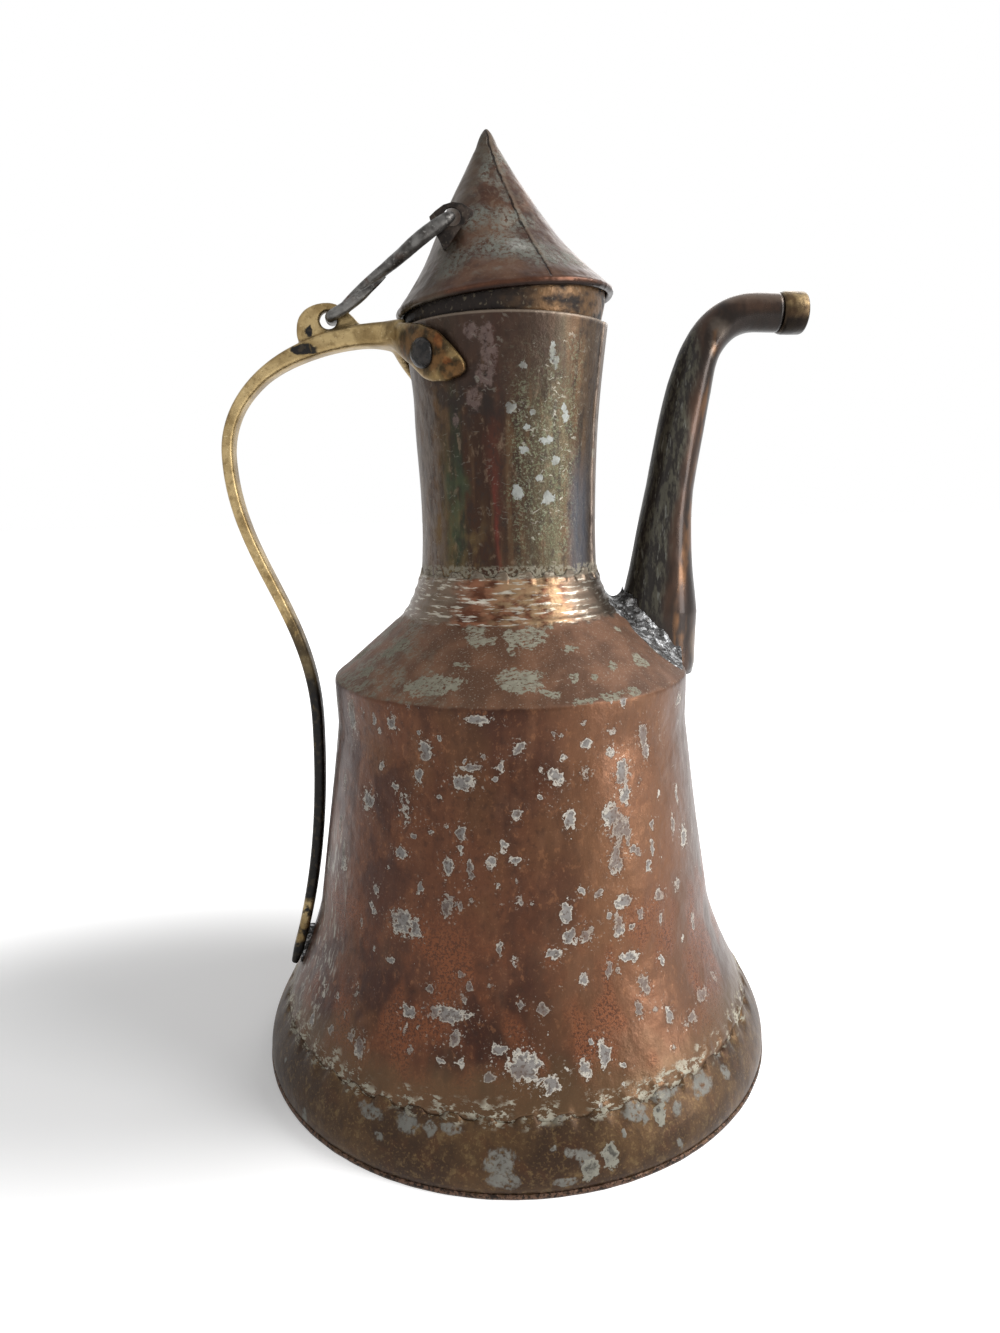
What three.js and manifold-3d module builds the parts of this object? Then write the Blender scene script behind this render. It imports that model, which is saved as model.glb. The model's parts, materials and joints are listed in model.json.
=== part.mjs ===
import * as THREE from "three";
import { mergeVertices } from "three/addons/utils/BufferGeometryUtils.js";
import Module from "manifold-3d";

// A sheet copper ewer with a cast brass handle and a conical lid that hangs on a wire link.
// Millimetres. The origin is the middle of the underside, +Z is up, the spout is on +X and the handle on -X.

const wasm = await Module();
wasm.setup();

// Sheet and clearances
const sheet = 1.3; // wall of the foot, body, neck and spout
const lidSheet = 1; // wall of the lid
const clearance = 0.3; // between pieces that touch

// Facets round the body, the neck and the spout
const bodySides = 44;
const neckSides = 32;
const tubeSides = 16;

// Foot: a flared band that stands in the turned-up edge of the base plate
const footRadius = 93.9;
const footHeight = 21;
const footSeamRadius = 86.7;
const footBulge = 0.4;
const hemHeight = 2.2;
const hemProud = 0.3;

// Body: a bell with its waist just under the shoulder, and a collar that carries the neck
const bellHeight = 119.8;
const hipRadius = 72.6;
const flareHeight = 36;
const waistRadius = 62.9;
const waistDrop = 16.8;
const shoulderRadius = 63.2;
const shoulderRound = 1.2;
const shoulderRise = 18.8;
const collarFootRadius = 40;
const collarRise = 17.4;
const collarTuck = 34.8;
const collarBeads = 3;
const beadProud = 0.35;

// Neck: a rolled tube that widens to the mouth, with a lapped seam
const neckHeight = 80.3;
const neckSeamRadius = 31.2;
const neckPullIn = 2;
const mouthRadius = 34.5;
const lapAzimuth = -21;
const lapWidth = 8;
const lapStep = 0.5;

// Toothed seams: the edges of two sheets are cut into tabs that lie between each other
const footTabs = 44;
const footTabHeight = 2.6;
const neckTabs = 18;
const neckTabHeight = 3.2;

// Spout: stands on the shoulder, leans out and turns level
const spoutInset = 8.4;
const spoutRiser = 104;
const spoutLean = 12;
const spoutElbowRise = 18.6;
const spoutElbowReach = 22;
const spoutNozzle = 16.7;
const spoutRootLength = 28.6;
const spoutRootWidth = 22.8;
const spoutRootUp = 19;
const spoutToe = 12;
const spoutWaistRadius = 8.1;
const spoutWaistUp = 70;
const spoutPipeRadius = 6.4;
const spoutHoleRadius = 6.5;

// Ferrule: a brass ring on the spigot of the spout
const ferruleLength = 9;
const ferruleRadius = 7.1;
const ferruleGroove = 0.5;
const spigotLength = 4.5;
const spigotRadius = 5.7;

// Solder round the root of the spout and under the foot of the handle
const solderReach = 3.6;
const solderHeight = 2.2;
const solderPadHeight = 12;

// Handle: one casting with a bowed strap, an ear for the link and a fork that holds the neck
const handleReach = 94.1;
const handleWidth = 9.5;
const handleThickness = 4;
const armThickness = 5.2;
const armDrop = 0.7;
const forkReach = 5.5;
const bowDepth = 40.2;
const bowCurl = 35;
const flankLength = 93;
const flankCurl = 40;
const flankStandoff = 7.2;
const handleFootHeight = 31;

// Leaves: the two ends of the fork
const leafThickness = 4.2;
const leafTipThickness = 2.4;
const leafRootHeight = 5.2;
const leafHeight = 16.8;
const leafTipHeight = 1.4;
const leafMiddleAngle = 40;
const leafAngle = 63.5;
const leafDrop = 15.2;

// Rivets through the leaves and the neck
const rivetAngle = 39.3;
const rivetDrop = 10.9;
const shankRadius = 2.3;
const rivetHeadRadius = 5.6;
const rivetHeadHeight = 2.2;
const rivetTailRadius = 3.7;
const rivetTailHeight = 0.8;
const spotFaceDepth = 0.3;

// Ear: the plate on the arm with the hole that the link swings in
const earInset = 35.3;
const earRise = 5.9;
const earThickness = 5;
const earHoleRadius = 3.1;
const earCrown = 5.9;
const earHeel = 10.4;
const earHeelRound = 5;
const earToe = 13;

// Lid: a hollow cone rolled round the flange of the collar that enters the mouth
const lidTilt = 5.4;
const lidRadius = 36.8;
const lidHeight = 54.1;
const lidPinchRadius = 21;
const lidPinchHeight = 16.4;
const lidTipRadius = 0.7;
const lidHemHeight = 1.9;
const lidHemWidth = 2.3;
const collarPlay = 1.5;
const collarDepth = 16;
const collarTaper = 1.1;
const flangeDrop = 9.6;
const flangeHollowRadius = 33.6;
const flangeHollowDrop = 7.6;

// Lid eye: a tab of sheet that stands in a slot of the cone and is bent over inside
const eyeOffset = 14.5;
const eyeInset = 14.9;
const eyeUp = 27.1;
const eyeHoleRadius = 2.95;
const eyeSheet = 1.2;
const eyeRim = 1.35;
const tongueHeight = 4.6;
const tongueEnd = 3.5;
const tongueBend = 6;

// Link: an iron wire with a hook through the ear and one through the eye of the lid
const wireRadius = 1.75;
const wirePlay = 0.4;
const wireSides = 8;
const wireSteps = 48;
const lowerHookLength = 24.4;
const upperHookLength = 15;

// Heights and radii that follow from the sizes above
const hipHeight = footHeight + flareHeight;
const shoulderHeight = footHeight + bellHeight;
const waistHeight = shoulderHeight - waistDrop;
const collarFootHeight = shoulderHeight + shoulderRise;
const neckFoot = collarFootHeight + collarRise;
const mouthHeight = neckFoot + neckHeight;
const boreRadius = mouthRadius - sheet;
const halfTurn = Math.PI;
const radians = THREE.MathUtils.degToRad;

const copper = new THREE.MeshStandardMaterial({ color: 0x6e3f2c, roughness: 0.45, metalness: 1 });
const darkCopper = new THREE.MeshStandardMaterial({ color: 0x4a3a30, roughness: 0.4, metalness: 1 });
const oliveCopper = new THREE.MeshStandardMaterial({ color: 0x5d5038, roughness: 0.5, metalness: 1 });
const brass = new THREE.MeshStandardMaterial({ color: 0x8d7440, roughness: 0.4, metalness: 1 });
const iron = new THREE.MeshStandardMaterial({ color: 0x3a3836, roughness: 0.55, metalness: 1 });
const greySolder = new THREE.MeshStandardMaterial({ color: 0x8c8a84, roughness: 0.6, metalness: 1 });

// A closed geometry as a solid that can be joined and cut.
function solid(geometry) {
  const bare = geometry.clone();
  for (const name of Object.keys(bare.attributes)) {
    if (name !== "position") bare.deleteAttribute(name);
  }
  const merged = mergeVertices(bare, 1e-4);
  return new wasm.Manifold(
    new wasm.Mesh({
      numProp: 3,
      vertProperties: merged.attributes.position.array,
      triVerts: new Uint32Array(merged.index.array),
    }),
  );
}

// The named mesh of one finished piece.
function piece(name, shape, material) {
  const { vertProperties, triVerts } = shape.getMesh();
  const geometry = new THREE.BufferGeometry();
  geometry.setAttribute("position", new THREE.BufferAttribute(vertProperties, 3));
  geometry.setIndex(new THREE.BufferAttribute(triVerts, 1));
  geometry.computeVertexNormals();
  const mesh = new THREE.Mesh(geometry, material);
  mesh.name = name;
  return mesh;
}

// A solid of revolution from an outline of [radius, height] that runs up the outside and down the inside.
function turned(outline, sides) {
  const closed = outline[0][0] === 0 ? outline : [...outline, outline[0]];
  const points = closed.map(([radius, height]) => new THREE.Vector2(radius, height));
  return solid(new THREE.LatheGeometry(points, sides).rotateX(halfTurn / 2));
}

// The outline moved outwards by a distance, square to its own run.
function offset(outline, distance) {
  return outline.map(([radius, height], i) => {
    const [r0, z0] = outline[Math.max(i - 1, 0)];
    const [r1, z1] = outline[Math.min(i + 1, outline.length - 1)];
    const run = Math.hypot(r1 - r0, z1 - z0);
    return [radius + (distance * (z1 - z0)) / run, height - (distance * (r1 - r0)) / run];
  });
}

// The same outline moved in by a thickness, with its ends kept level with the outer ones.
function innerFace(outline, thickness) {
  const inside = offset(outline, -thickness);
  inside[0][1] = outline[0][1];
  inside[inside.length - 1][1] = outline[outline.length - 1][1];
  return inside.reverse();
}

function sheetWall(outline, thickness, sides) {
  return turned([...outline, ...innerFace(outline, thickness)], sides);
}

// The space inside an outline, grown by a distance, for cutting what lies against it.
function filled(outline, growth, sides) {
  const grown = offset(outline, growth);
  return turned([[0, grown[0][1]], ...grown, [0, grown[grown.length - 1][1]]], sides);
}

function radiusAt(outline, height) {
  const found = outline.findIndex(([, z]) => z >= height);
  const i = found < 0 ? outline.length - 1 : Math.max(1, found);
  const [r0, z0] = outline[i - 1];
  const [r1, z1] = outline[i];
  return r0 + ((r1 - r0) * (height - z0)) / (z1 - z0);
}

function steps(from, to, count) {
  return Array.from({ length: count + 1 }, (_, i) => from + ((to - from) * i) / count);
}

function curved(start, middle, end, count) {
  const [a, b, c] = [start, middle, end].map(([x, y]) => new THREE.Vector2(x, y));
  return new THREE.QuadraticBezierCurve(a, b, c).getPoints(count).map(({ x, y }) => [x, y]);
}

function box([x0, x1], [y0, y1], [z0, z1]) {
  const geometry = new THREE.BoxGeometry(x1 - x0, y1 - y0, z1 - z0);
  return solid(geometry.translate((x0 + x1) / 2, (y0 + y1) / 2, (z0 + z1) / 2));
}

// A cylinder along +X, turned about Z to an azimuth.
function radialCylinder(radius, from, to, azimuth, height) {
  const geometry = new THREE.CylinderGeometry(radius, radius, to - from, 24);
  geometry.rotateZ(halfTurn / 2).translate((from + to) / 2, 0, 0);
  return solid(geometry.rotateZ(azimuth).translate(0, 0, height));
}

// A skin over rings of equal length. Its end rings close it, or it runs back to its first ring.
function skinned(rings, looped = false) {
  const count = rings[0].length;
  const spans = looped ? rings.length : rings.length - 1;
  const faces = [];
  for (let i = 0; i < spans; i++) {
    const here = i * count;
    const there = ((i + 1) % rings.length) * count;
    for (let j = 0; j < count; j++) {
      const next = (j + 1) % count;
      faces.push(here + j, here + next, there + next, here + j, there + next, there + j);
    }
  }
  if (!looped) {
    const last = (rings.length - 1) * count;
    for (let j = 1; j < count - 1; j++) {
      faces.push(0, j + 1, j, last, last + j, last + j + 1);
    }
  }
  const geometry = new THREE.BufferGeometry();
  geometry.setAttribute("position", new THREE.Float32BufferAttribute(rings.flat(2), 3));
  geometry.setIndex(faces);
  return solid(geometry);
}

// A flat plate drawn in the plane of the handle, between two depths across it.
function plate(shape, [near, far]) {
  const drawn = { depth: far - near, bevelEnabled: false, curveSegments: 10 };
  return solid(new THREE.ExtrudeGeometry(shape, drawn).rotateX(halfTurn / 2).translate(0, far, 0));
}

// The bell is straight from its waist to its hip and flares below the hip.
function bellRadius(height) {
  const slope = (hipRadius - waistRadius) / (waistHeight - hipHeight);
  const flare = footSeamRadius - waistRadius - slope * (waistHeight - footHeight);
  const down = Math.max(0, (hipHeight - height) / flareHeight);
  return waistRadius + slope * (waistHeight - height) + flare * down ** 1.5;
}

// The collar sweeps from the cone of the shoulder to the neck, with raised beads round it.
function collarOutline() {
  const points = curved(
    [collarFootRadius, collarFootHeight],
    [collarTuck, collarFootHeight + collarRise / 4],
    [neckSeamRadius, neckFoot],
    2 * collarBeads,
  );
  return points.map(([radius, height], i) => [radius + (i % 2 ? beadProud : 0), height]);
}

const neckOutline = curved(
  [neckSeamRadius, neckFoot],
  [neckSeamRadius - neckPullIn, neckFoot + neckHeight * 0.35],
  [mouthRadius, mouthHeight],
  5,
);

const bodyOutline = [
  ...steps(footHeight, hipHeight, 3).map((height) => [bellRadius(height), height]),
  [waistRadius, waistHeight],
  [shoulderRadius, shoulderHeight - shoulderRound],
  [shoulderRadius - shoulderRound, shoulderHeight],
  ...collarOutline(),
];

// How far the tabs of a seam reach past its middle line.
const footTabReach = (footTabHeight - clearance) / 2;
const neckTabReach = (neckTabHeight - clearance) / 2;

// Slots between the tabs of one edge. The other edge has its slots half a pitch further round.
function tabSlots(radius, count, from, to, shift) {
  const pitch = (2 * halfTurn) / count;
  const width = (radius * pitch) / 2 + clearance;
  const slots = Array.from({ length: count }, (_, i) => {
    const slot = new THREE.BoxGeometry(8 * sheet, width, to - from);
    return solid(slot.translate(radius, 0, (from + to) / 2).rotateZ(pitch * (i + shift)));
  });
  return wasm.Manifold.union(slots);
}

function basePlate() {
  const outer = footRadius + hemProud;
  const round = sheet / 3;
  const outline = [
    [0, 0],
    [outer - round, 0],
    [outer, round],
    [outer, hemHeight - round],
    [outer - round, hemHeight],
    [outer - sheet, hemHeight],
    [outer - sheet, sheet],
    [0, sheet],
  ];
  return turned(outline, bodySides);
}

function footBand() {
  const hemBore = footRadius + hemProud - sheet - clearance;
  const seam = [footSeamRadius, footHeight];
  const outline = [
    [hemBore, sheet + clearance],
    [hemBore, hemHeight],
    ...curved([footRadius, hemHeight + sheet], [footRadius + footBulge, footHeight / 2], seam, 4).slice(0, -1),
    [bellRadius(footHeight + footTabReach), footHeight + footTabReach],
  ];
  const slots = tabSlots(footSeamRadius, footTabs, footHeight - footTabReach - clearance, hipHeight, 0);
  return sheetWall(outline, sheet, bodySides).subtract(slots);
}

function bodyShell() {
  const foot = [bellRadius(footHeight - footTabReach), footHeight - footTabReach];
  const top = [radiusAt(neckOutline, neckFoot + neckTabReach), neckFoot + neckTabReach];
  const wall = sheetWall([foot, ...bodyOutline.slice(1, -1), top], sheet, bodySides);
  const footSlots = tabSlots(footSeamRadius, footTabs, 0, footHeight + footTabReach + clearance, 0.5);
  const neckSlots = tabSlots(neckSeamRadius, neckTabs, neckFoot - neckTabReach - clearance, mouthHeight, 0);
  return wall.subtract(footSlots).subtract(neckSlots).subtract(spoutHole());
}

function neckTube() {
  const foot = [radiusAt(bodyOutline, neckFoot - neckTabReach), neckFoot - neckTabReach];
  const slots = tabSlots(neckSeamRadius, neckTabs, shoulderHeight, neckFoot + neckTabReach + clearance, 0.5);
  const wall = sheetWall([foot, ...neckOutline.slice(1)], sheet, neckSides).subtract(slots);
  const lapped = sheetWall(offset(neckOutline, lapStep), sheet, neckSides);
  const strip = box([0, 2 * mouthRadius], [-lapWidth / 2, lapWidth / 2], [neckFoot + neckTabHeight, mouthHeight]);
  const lap = lapped.intersect(strip.rotate([0, 0, lapAzimuth]));
  return rivetSides.reduce((neck, side) => neck.subtract(rivetBore(side)), wall.add(lap));
}

// The middle line of the spout: a leaning riser, an elbow and a level nozzle.
const spoutFoot = shoulderRadius - spoutInset;
const spoutTop = shoulderHeight + spoutRiser + spoutElbowRise;
const spoutTip = spoutFoot + spoutLean + spoutElbowReach + spoutNozzle;
const ferruleFoot = spoutTip - ferruleLength;

function spoutRiserCurve() {
  return new THREE.CubicBezierCurve(
    new THREE.Vector2(spoutFoot, shoulderHeight),
    new THREE.Vector2(spoutFoot, shoulderHeight + spoutRiser * 0.37),
    new THREE.Vector2(spoutFoot + spoutLean * 0.3, shoulderHeight + spoutRiser * 0.69),
    new THREE.Vector2(spoutFoot + spoutLean, shoulderHeight + spoutRiser),
  );
}

function spoutElbowCurve() {
  const start = new THREE.Vector2(spoutFoot + spoutLean, shoulderHeight + spoutRiser);
  const end = new THREE.Vector2(start.x + spoutElbowReach, spoutTop);
  const leaving = spoutRiserCurve().getTangent(1).multiplyScalar(spoutElbowReach / 2);
  const arriving = new THREE.Vector2(-spoutElbowReach * 0.57, 0);
  return new THREE.CubicBezierCurve(start, start.clone().add(leaving), end.clone().add(arriving), end);
}

// Half the length and half the width of the spout's section, by its distance up the riser.
function spoutSection(up) {
  const root = [spoutRootLength / 2, spoutRootWidth / 2];
  if (up < spoutRootUp) {
    const toe = Math.min(1, Math.max(0, (2 - up) / spoutToe));
    return root.map((half) => half * Math.sqrt(1 - toe ** 2));
  }
  if (up < spoutWaistUp) {
    const left = ((spoutWaistUp - up) / (spoutWaistUp - spoutRootUp)) ** 1.6;
    return root.map((half) => spoutWaistRadius + (half - spoutWaistRadius) * left);
  }
  const along = Math.min(1, (up - spoutWaistUp) / (spoutRiser - spoutWaistUp)) ** 1.8;
  const radius = spoutWaistRadius + (spoutPipeRadius - spoutWaistRadius) * along;
  return [radius, radius];
}

// Stations along the spout: a point, the way the spout runs there and its half length and half width.
function spoutStations() {
  const riser = spoutRiserCurve();
  const elbow = spoutElbowCurve();
  const toes = [-7, -5, -2].map((up) => [
    new THREE.Vector2(spoutFoot, shoulderHeight + up), new THREE.Vector2(0, 1), ...spoutSection(up),
  ]);
  const rise = steps(0.02, 1, 11).map((t) => [
    riser.getPointAt(t), riser.getTangentAt(t), ...spoutSection(t * riser.getLength()),
  ]);
  const turn = steps(0, 1, 6).slice(1).map((t) => [
    elbow.getPointAt(t), elbow.getTangentAt(t), spoutPipeRadius, spoutPipeRadius,
  ]);
  return [...toes, ...rise, ...turn];
}

function nozzleStations() {
  const level = new THREE.Vector2(1, 0);
  const stop = ferruleFoot - clearance;
  return [
    [stop, spoutPipeRadius],
    [stop, spigotRadius],
    [ferruleFoot + spigotLength, spigotRadius],
  ].map(([x, radius]) => [new THREE.Vector2(x, spoutTop), level, radius, radius]);
}

function spoutRings(stations, growth) {
  return stations.map(([point, run, halfLength, halfWidth]) =>
    steps(0, 2 * halfTurn, tubeSides).slice(0, -1).map((angle) => {
      const along = (halfLength + growth) * Math.cos(angle);
      return [point.x + run.y * along, (halfWidth + growth) * Math.sin(angle), point.y - run.x * along];
    }),
  );
}

// The hole in the shoulder under the spout.
function spoutHole() {
  const x = spoutFoot - spoutInset / 2;
  const drill = new THREE.CylinderGeometry(spoutHoleRadius, spoutHoleRadius, 2 * shoulderRise, tubeSides);
  return solid(drill.rotateX(halfTurn / 2).translate(x, 0, shoulderHeight + shoulderRise / 2));
}

function spout() {
  const stations = [...spoutStations(), ...nozzleStations()];
  const outer = spoutRings(stations, 0);
  const inner = spoutRings(stations, -sheet);
  const tube = skinned([...outer, ...inner.reverse()], true);
  return tube.subtract(filled(bodyOutline, clearance, bodySides));
}

function spoutFerrule() {
  const socket = spigotRadius + clearance;
  const bore = spigotRadius - sheet;
  const round = (ferruleRadius - bore) / 4;
  const outline = [
    [ferruleRadius - ferruleGroove, 0],
    [ferruleRadius - ferruleGroove, 2 * ferruleGroove],
    [ferruleRadius, 3 * ferruleGroove],
    [ferruleRadius, ferruleLength - round],
    [ferruleRadius - round, ferruleLength],
    [bore, ferruleLength],
    [bore, spigotLength + clearance],
    [socket, spigotLength + clearance],
    [socket, 0],
  ];
  return turned(outline, tubeSides + 4).rotate([0, 90, 0]).translate([ferruleFoot, 0, spoutTop]);
}

// Solder lies on the shoulder in a horseshoe round the root of the spout.
function spoutSolder() {
  const root = spoutStations().slice(0, 8);
  const mound = skinned(spoutRings(root, solderReach));
  const layer = filled(bodyOutline, solderHeight, bodySides);
  const above = box([0, 2 * shoulderRadius], [-shoulderRadius, shoulderRadius], [shoulderHeight, mouthHeight]);
  return mound
    .intersect(layer)
    .intersect(above)
    .subtract(skinned(spoutRings(root, clearance)))
    .subtract(filled(bodyOutline, clearance, bodySides));
}

// The strap of the handle runs out along the arm, round the bow, and down the flank of the body.
const armHeight = mouthHeight - armDrop;
const armStart = mouthRadius + forkReach;
const bowHeight = armHeight - bowDepth;
const flankTop = handleFootHeight + flankLength;

function bowCurve() {
  return new THREE.EllipseCurve(-armStart, bowHeight, handleReach - armStart, bowDepth, halfTurn / 2, halfTurn);
}

function armHeightAt(x) {
  const out = (-armStart - x) / (handleReach - armStart);
  return bowHeight + bowDepth * Math.sqrt(1 - Math.max(0, out) ** 2);
}

function reverseCurve() {
  return new THREE.CubicBezierCurve(
    new THREE.Vector2(-handleReach, bowHeight),
    new THREE.Vector2(-handleReach, bowHeight - bowCurl),
    new THREE.Vector2(-waistRadius - flankStandoff, flankTop + flankCurl),
    new THREE.Vector2(-waistRadius - flankStandoff, flankTop),
  );
}

function flankCurve() {
  const footX = -radiusAt(bodyOutline, handleFootHeight) - clearance - handleThickness / 2;
  return new THREE.QuadraticBezierCurve(
    new THREE.Vector2(-waistRadius - flankStandoff, flankTop),
    new THREE.Vector2(-waistRadius - flankStandoff, handleFootHeight + flankLength * 0.57),
    new THREE.Vector2(footX, handleFootHeight),
  );
}

// Stations along the strap: a point, the way it runs there, its thickness and its width.
function strapStations() {
  const taper = (t) => armThickness + (handleThickness - armThickness) * Math.min(1, 1.6 * t);
  const arm = [0, forkReach].map((out) => [
    new THREE.Vector2(-mouthRadius - out, armHeight), new THREE.Vector2(-1, 0), armThickness, handleWidth,
  ]);
  const bow = steps(0, 1, 10).slice(1).map((t) => [
    bowCurve().getPointAt(t), bowCurve().getTangentAt(t), taper(t), handleWidth,
  ]);
  const turn = steps(0, 1, 7).slice(1).map((t) => [
    reverseCurve().getPointAt(t), reverseCurve().getTangentAt(t), handleThickness, handleWidth,
  ]);
  const flank = steps(0, 0.97, 6).slice(1).map((t) => [
    flankCurve().getPointAt(t), flankCurve().getTangentAt(t), handleThickness, handleWidth,
  ]);
  const end = [flankCurve().getPointAt(1), flankCurve().getTangentAt(1), handleThickness / 2, handleWidth * 0.8];
  return [...arm, ...bow, ...turn, ...flank, end];
}

// The strap's section is a rectangle with eased corners.
function strapRing([point, run, thickness, width], growth) {
  const [t, w] = [thickness / 2 + growth, width / 2 + growth];
  const ease = Math.min(t, w) * 0.4;
  const corners = [[t, w - ease], [t - ease, w]];
  const quarter = ([a, b], signA, signB) => [signA * a, signB * b];
  const section = [
    ...corners.map((corner) => quarter(corner, 1, 1)),
    ...corners.map((corner) => quarter(corner, -1, 1)).reverse(),
    ...corners.map((corner) => quarter(corner, -1, -1)),
    ...corners.map((corner) => quarter(corner, 1, -1)).reverse(),
  ];
  return section.map(([out, across]) => [point.x + run.y * out, across, point.y - run.x * out]);
}

function strap(growth) {
  return skinned(strapStations().map((station) => strapRing(station, growth)));
}

// How tall and how thick a leaf is at an angle from the arm.
function leafSection(angle) {
  const out = angle / leafAngle;
  const thickness = leafThickness + (leafTipThickness - leafThickness) * out ** 3;
  if (angle < leafMiddleAngle) {
    const grown = THREE.MathUtils.smoothstep(angle, 0, leafMiddleAngle);
    return [leafRootHeight + (leafHeight - leafRootHeight) * grown, thickness];
  }
  const past = (angle - leafMiddleAngle) / (leafAngle - leafMiddleAngle);
  return [leafTipHeight + (leafHeight - leafTipHeight) * (1 - past ** 2), thickness];
}

// A leaf lies round the neck from the arm to its pointed tip. Its outer face is crowned.
function leaf(side) {
  const rings = steps(0, leafAngle, 11).map((angle) => {
    const [height, thickness] = leafSection(angle);
    const middle = armHeight - (leafDrop * angle) / leafAngle;
    const azimuth = halfTurn + side * radians(angle);
    const neck = radiusAt(neckOutline, middle);
    const section = [
      [-sheet, -0.5], [thickness * 0.6, -0.5], [thickness * 0.95, -0.3], [thickness + clearance, 0],
      [thickness * 0.95, 0.3], [thickness * 0.6, 0.5], [-sheet, 0.5],
    ];
    const ring = section.map(([out, up]) => [
      (neck + out) * Math.cos(azimuth), (neck + out) * Math.sin(azimuth), middle + up * height,
    ]);
    return side > 0 ? ring.reverse() : ring;
  });
  return skinned(rings);
}

// The ear's hole and the wire that hangs in it, as [x, z] in the plane of the handle.
const earHole = [earInset - handleReach, armHeightAt(earInset - handleReach) + earRise];

function ear() {
  const [x, z] = earHole;
  const round = earHeelRound;
  const shape = new THREE.Shape();
  shape.absarc(x - earHeel + round, z + earCrown - round, round, halfTurn, halfTurn / 2, true);
  shape.lineTo(x + earCrown / 2, z + earCrown);
  shape.lineTo(x + earCrown, z + earCrown - 1);
  shape.lineTo(x + earToe, armHeightAt(x + earToe));
  shape.lineTo(x - earHeel, armHeightAt(x - earHeel));
  shape.holes.push(new THREE.Path().absarc(x, z, earHoleRadius, 0, 2 * halfTurn));
  return plate(shape, [-earThickness / 2, earThickness / 2]);
}

const rivetSides = [-1, 1];
const rivetHeight = mouthHeight - rivetDrop;
const rivetSeat = radiusAt(neckOutline, rivetHeight) + leafThickness - spotFaceDepth;

function rivetAzimuth(side) {
  return halfTurn + side * radians(rivetAngle);
}

function rivetBore(side) {
  return radialCylinder(shankRadius + clearance, 0.7 * boreRadius, 1.5 * mouthRadius, rivetAzimuth(side), rivetHeight);
}

function spotFace(side) {
  const radius = rivetHeadRadius + clearance;
  return radialCylinder(radius, rivetSeat, 1.5 * mouthRadius, rivetAzimuth(side), rivetHeight);
}

function handle() {
  const neck = filled([...neckOutline, [mouthRadius, mouthHeight + leafHeight]], clearance, neckSides);
  const cast = wasm.Manifold.union([strap(0), leaf(-1), leaf(1), ear()]).subtract(neck);
  return rivetSides.reduce((body, side) => body.subtract(rivetBore(side)).subtract(spotFace(side)), cast);
}

// Solder fills the wedge between the foot of the handle and the flare of the body.
function handleSolder() {
  const top = handleFootHeight + solderPadHeight;
  const outer = radiusAt(bodyOutline, handleFootHeight);
  const half = handleWidth / 2 - clearance;
  return box([-outer, -waistRadius], [-half, half], [handleFootHeight, top])
    .subtract(strap(clearance))
    .subtract(filled(bodyOutline, clearance, bodySides));
}

// A rivet with a domed head on the leaf and a flat tail inside the neck.
function neckRivet(side) {
  const wall = radiusAt(neckOutline, rivetHeight - rivetTailRadius) - sheet;
  const tail = Math.sqrt(wall ** 2 - rivetTailRadius ** 2) - clearance;
  const head = rivetSeat + clearance;
  const outline = [
    [0, tail - rivetTailHeight],
    [rivetTailRadius * 0.8, tail - rivetTailHeight],
    [rivetTailRadius, tail - rivetTailHeight / 2],
    [rivetTailRadius, tail],
    [shankRadius, tail],
    [shankRadius, head],
    [rivetHeadRadius, head],
    [rivetHeadRadius * 0.93, head + rivetHeadHeight * 0.45],
    [rivetHeadRadius * 0.7, head + rivetHeadHeight * 0.82],
    [rivetHeadRadius * 0.35, head + rivetHeadHeight],
    [0, head + rivetHeadHeight],
  ];
  const turn = THREE.MathUtils.radToDeg(rivetAzimuth(side));
  return turned(outline, tubeSides).rotate([0, 90, 0]).rotate([0, 0, turn]).translate([0, 0, rivetHeight]);
}

// The lid is drawn upright about its own axis, with its rim at height 0.
const coneOutline = curved([lidRadius, 0], [lidPinchRadius, lidPinchHeight], [lidTipRadius, lidHeight], 6);
const hemBore = lidRadius - lidHemWidth;
const flangeRadius = hemBore - clearance;
const flangeTop = lidSheet;

function lidCone() {
  const inner = innerFace(coneOutline, lidSheet).filter(([radius]) => radius < hemBore && radius > lidTipRadius);
  const hem = [
    [hemBore, inner[inner.length - 1][1] / 2],
    [hemBore, -lidHemHeight * 0.9],
    [lidRadius - lidHemWidth * 0.6, -lidHemHeight],
    [lidRadius - lidHemWidth * 0.15, -lidHemHeight * 0.75],
    [lidRadius, -lidHemHeight * 0.4],
  ];
  const apex = [0, inner[0][1] + lidSheet];
  const outline = [apex, ...inner, ...hem, ...coneOutline, [0, lidHeight + lidTipRadius / 2]];
  return turned(outline, neckSides).subtract(eyeSlot());
}

// The collar hangs from the hem, hollows in and drops into the mouth.
function collarPoints() {
  const radius = boreRadius - collarPlay;
  return [
    [radius - collarTaper, -collarDepth],
    ...curved([radius, -flangeDrop], [flangeHollowRadius, -flangeHollowDrop], [flangeRadius, flangeTop], 5),
  ];
}

function lidCollar() {
  return sheetWall(collarPoints(), lidSheet, neckSides);
}

// The flange of the tilted lid rests on the edge of the mouth at the handle side.
function lidSeat() {
  const [lean, upright] = [Math.sin(radians(lidTilt)), Math.cos(radians(lidTilt))];
  const flange = collarPoints();
  const reach = ([radius, height]) => radius * upright + height * lean;
  const i = flange.findIndex((point) => reach(point) > boreRadius - clearance);
  const [low, high] = [flange[i - 1], flange[i]];
  const part = (boreRadius - clearance - reach(low)) / (reach(high) - reach(low));
  const radius = low[0] + (high[0] - low[0]) * part;
  const height = low[1] + (high[1] - low[1]) * part;
  return mouthHeight + radius * lean - height * upright;
}

// The eye is a tab with its hole outside the cone and a tongue through the slot.
const eyeNear = -eyeOffset - eyeSheet / 2;
const eyeFar = -eyeOffset + eyeSheet / 2;
const tongueTop = eyeUp - eyeRim;

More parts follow.
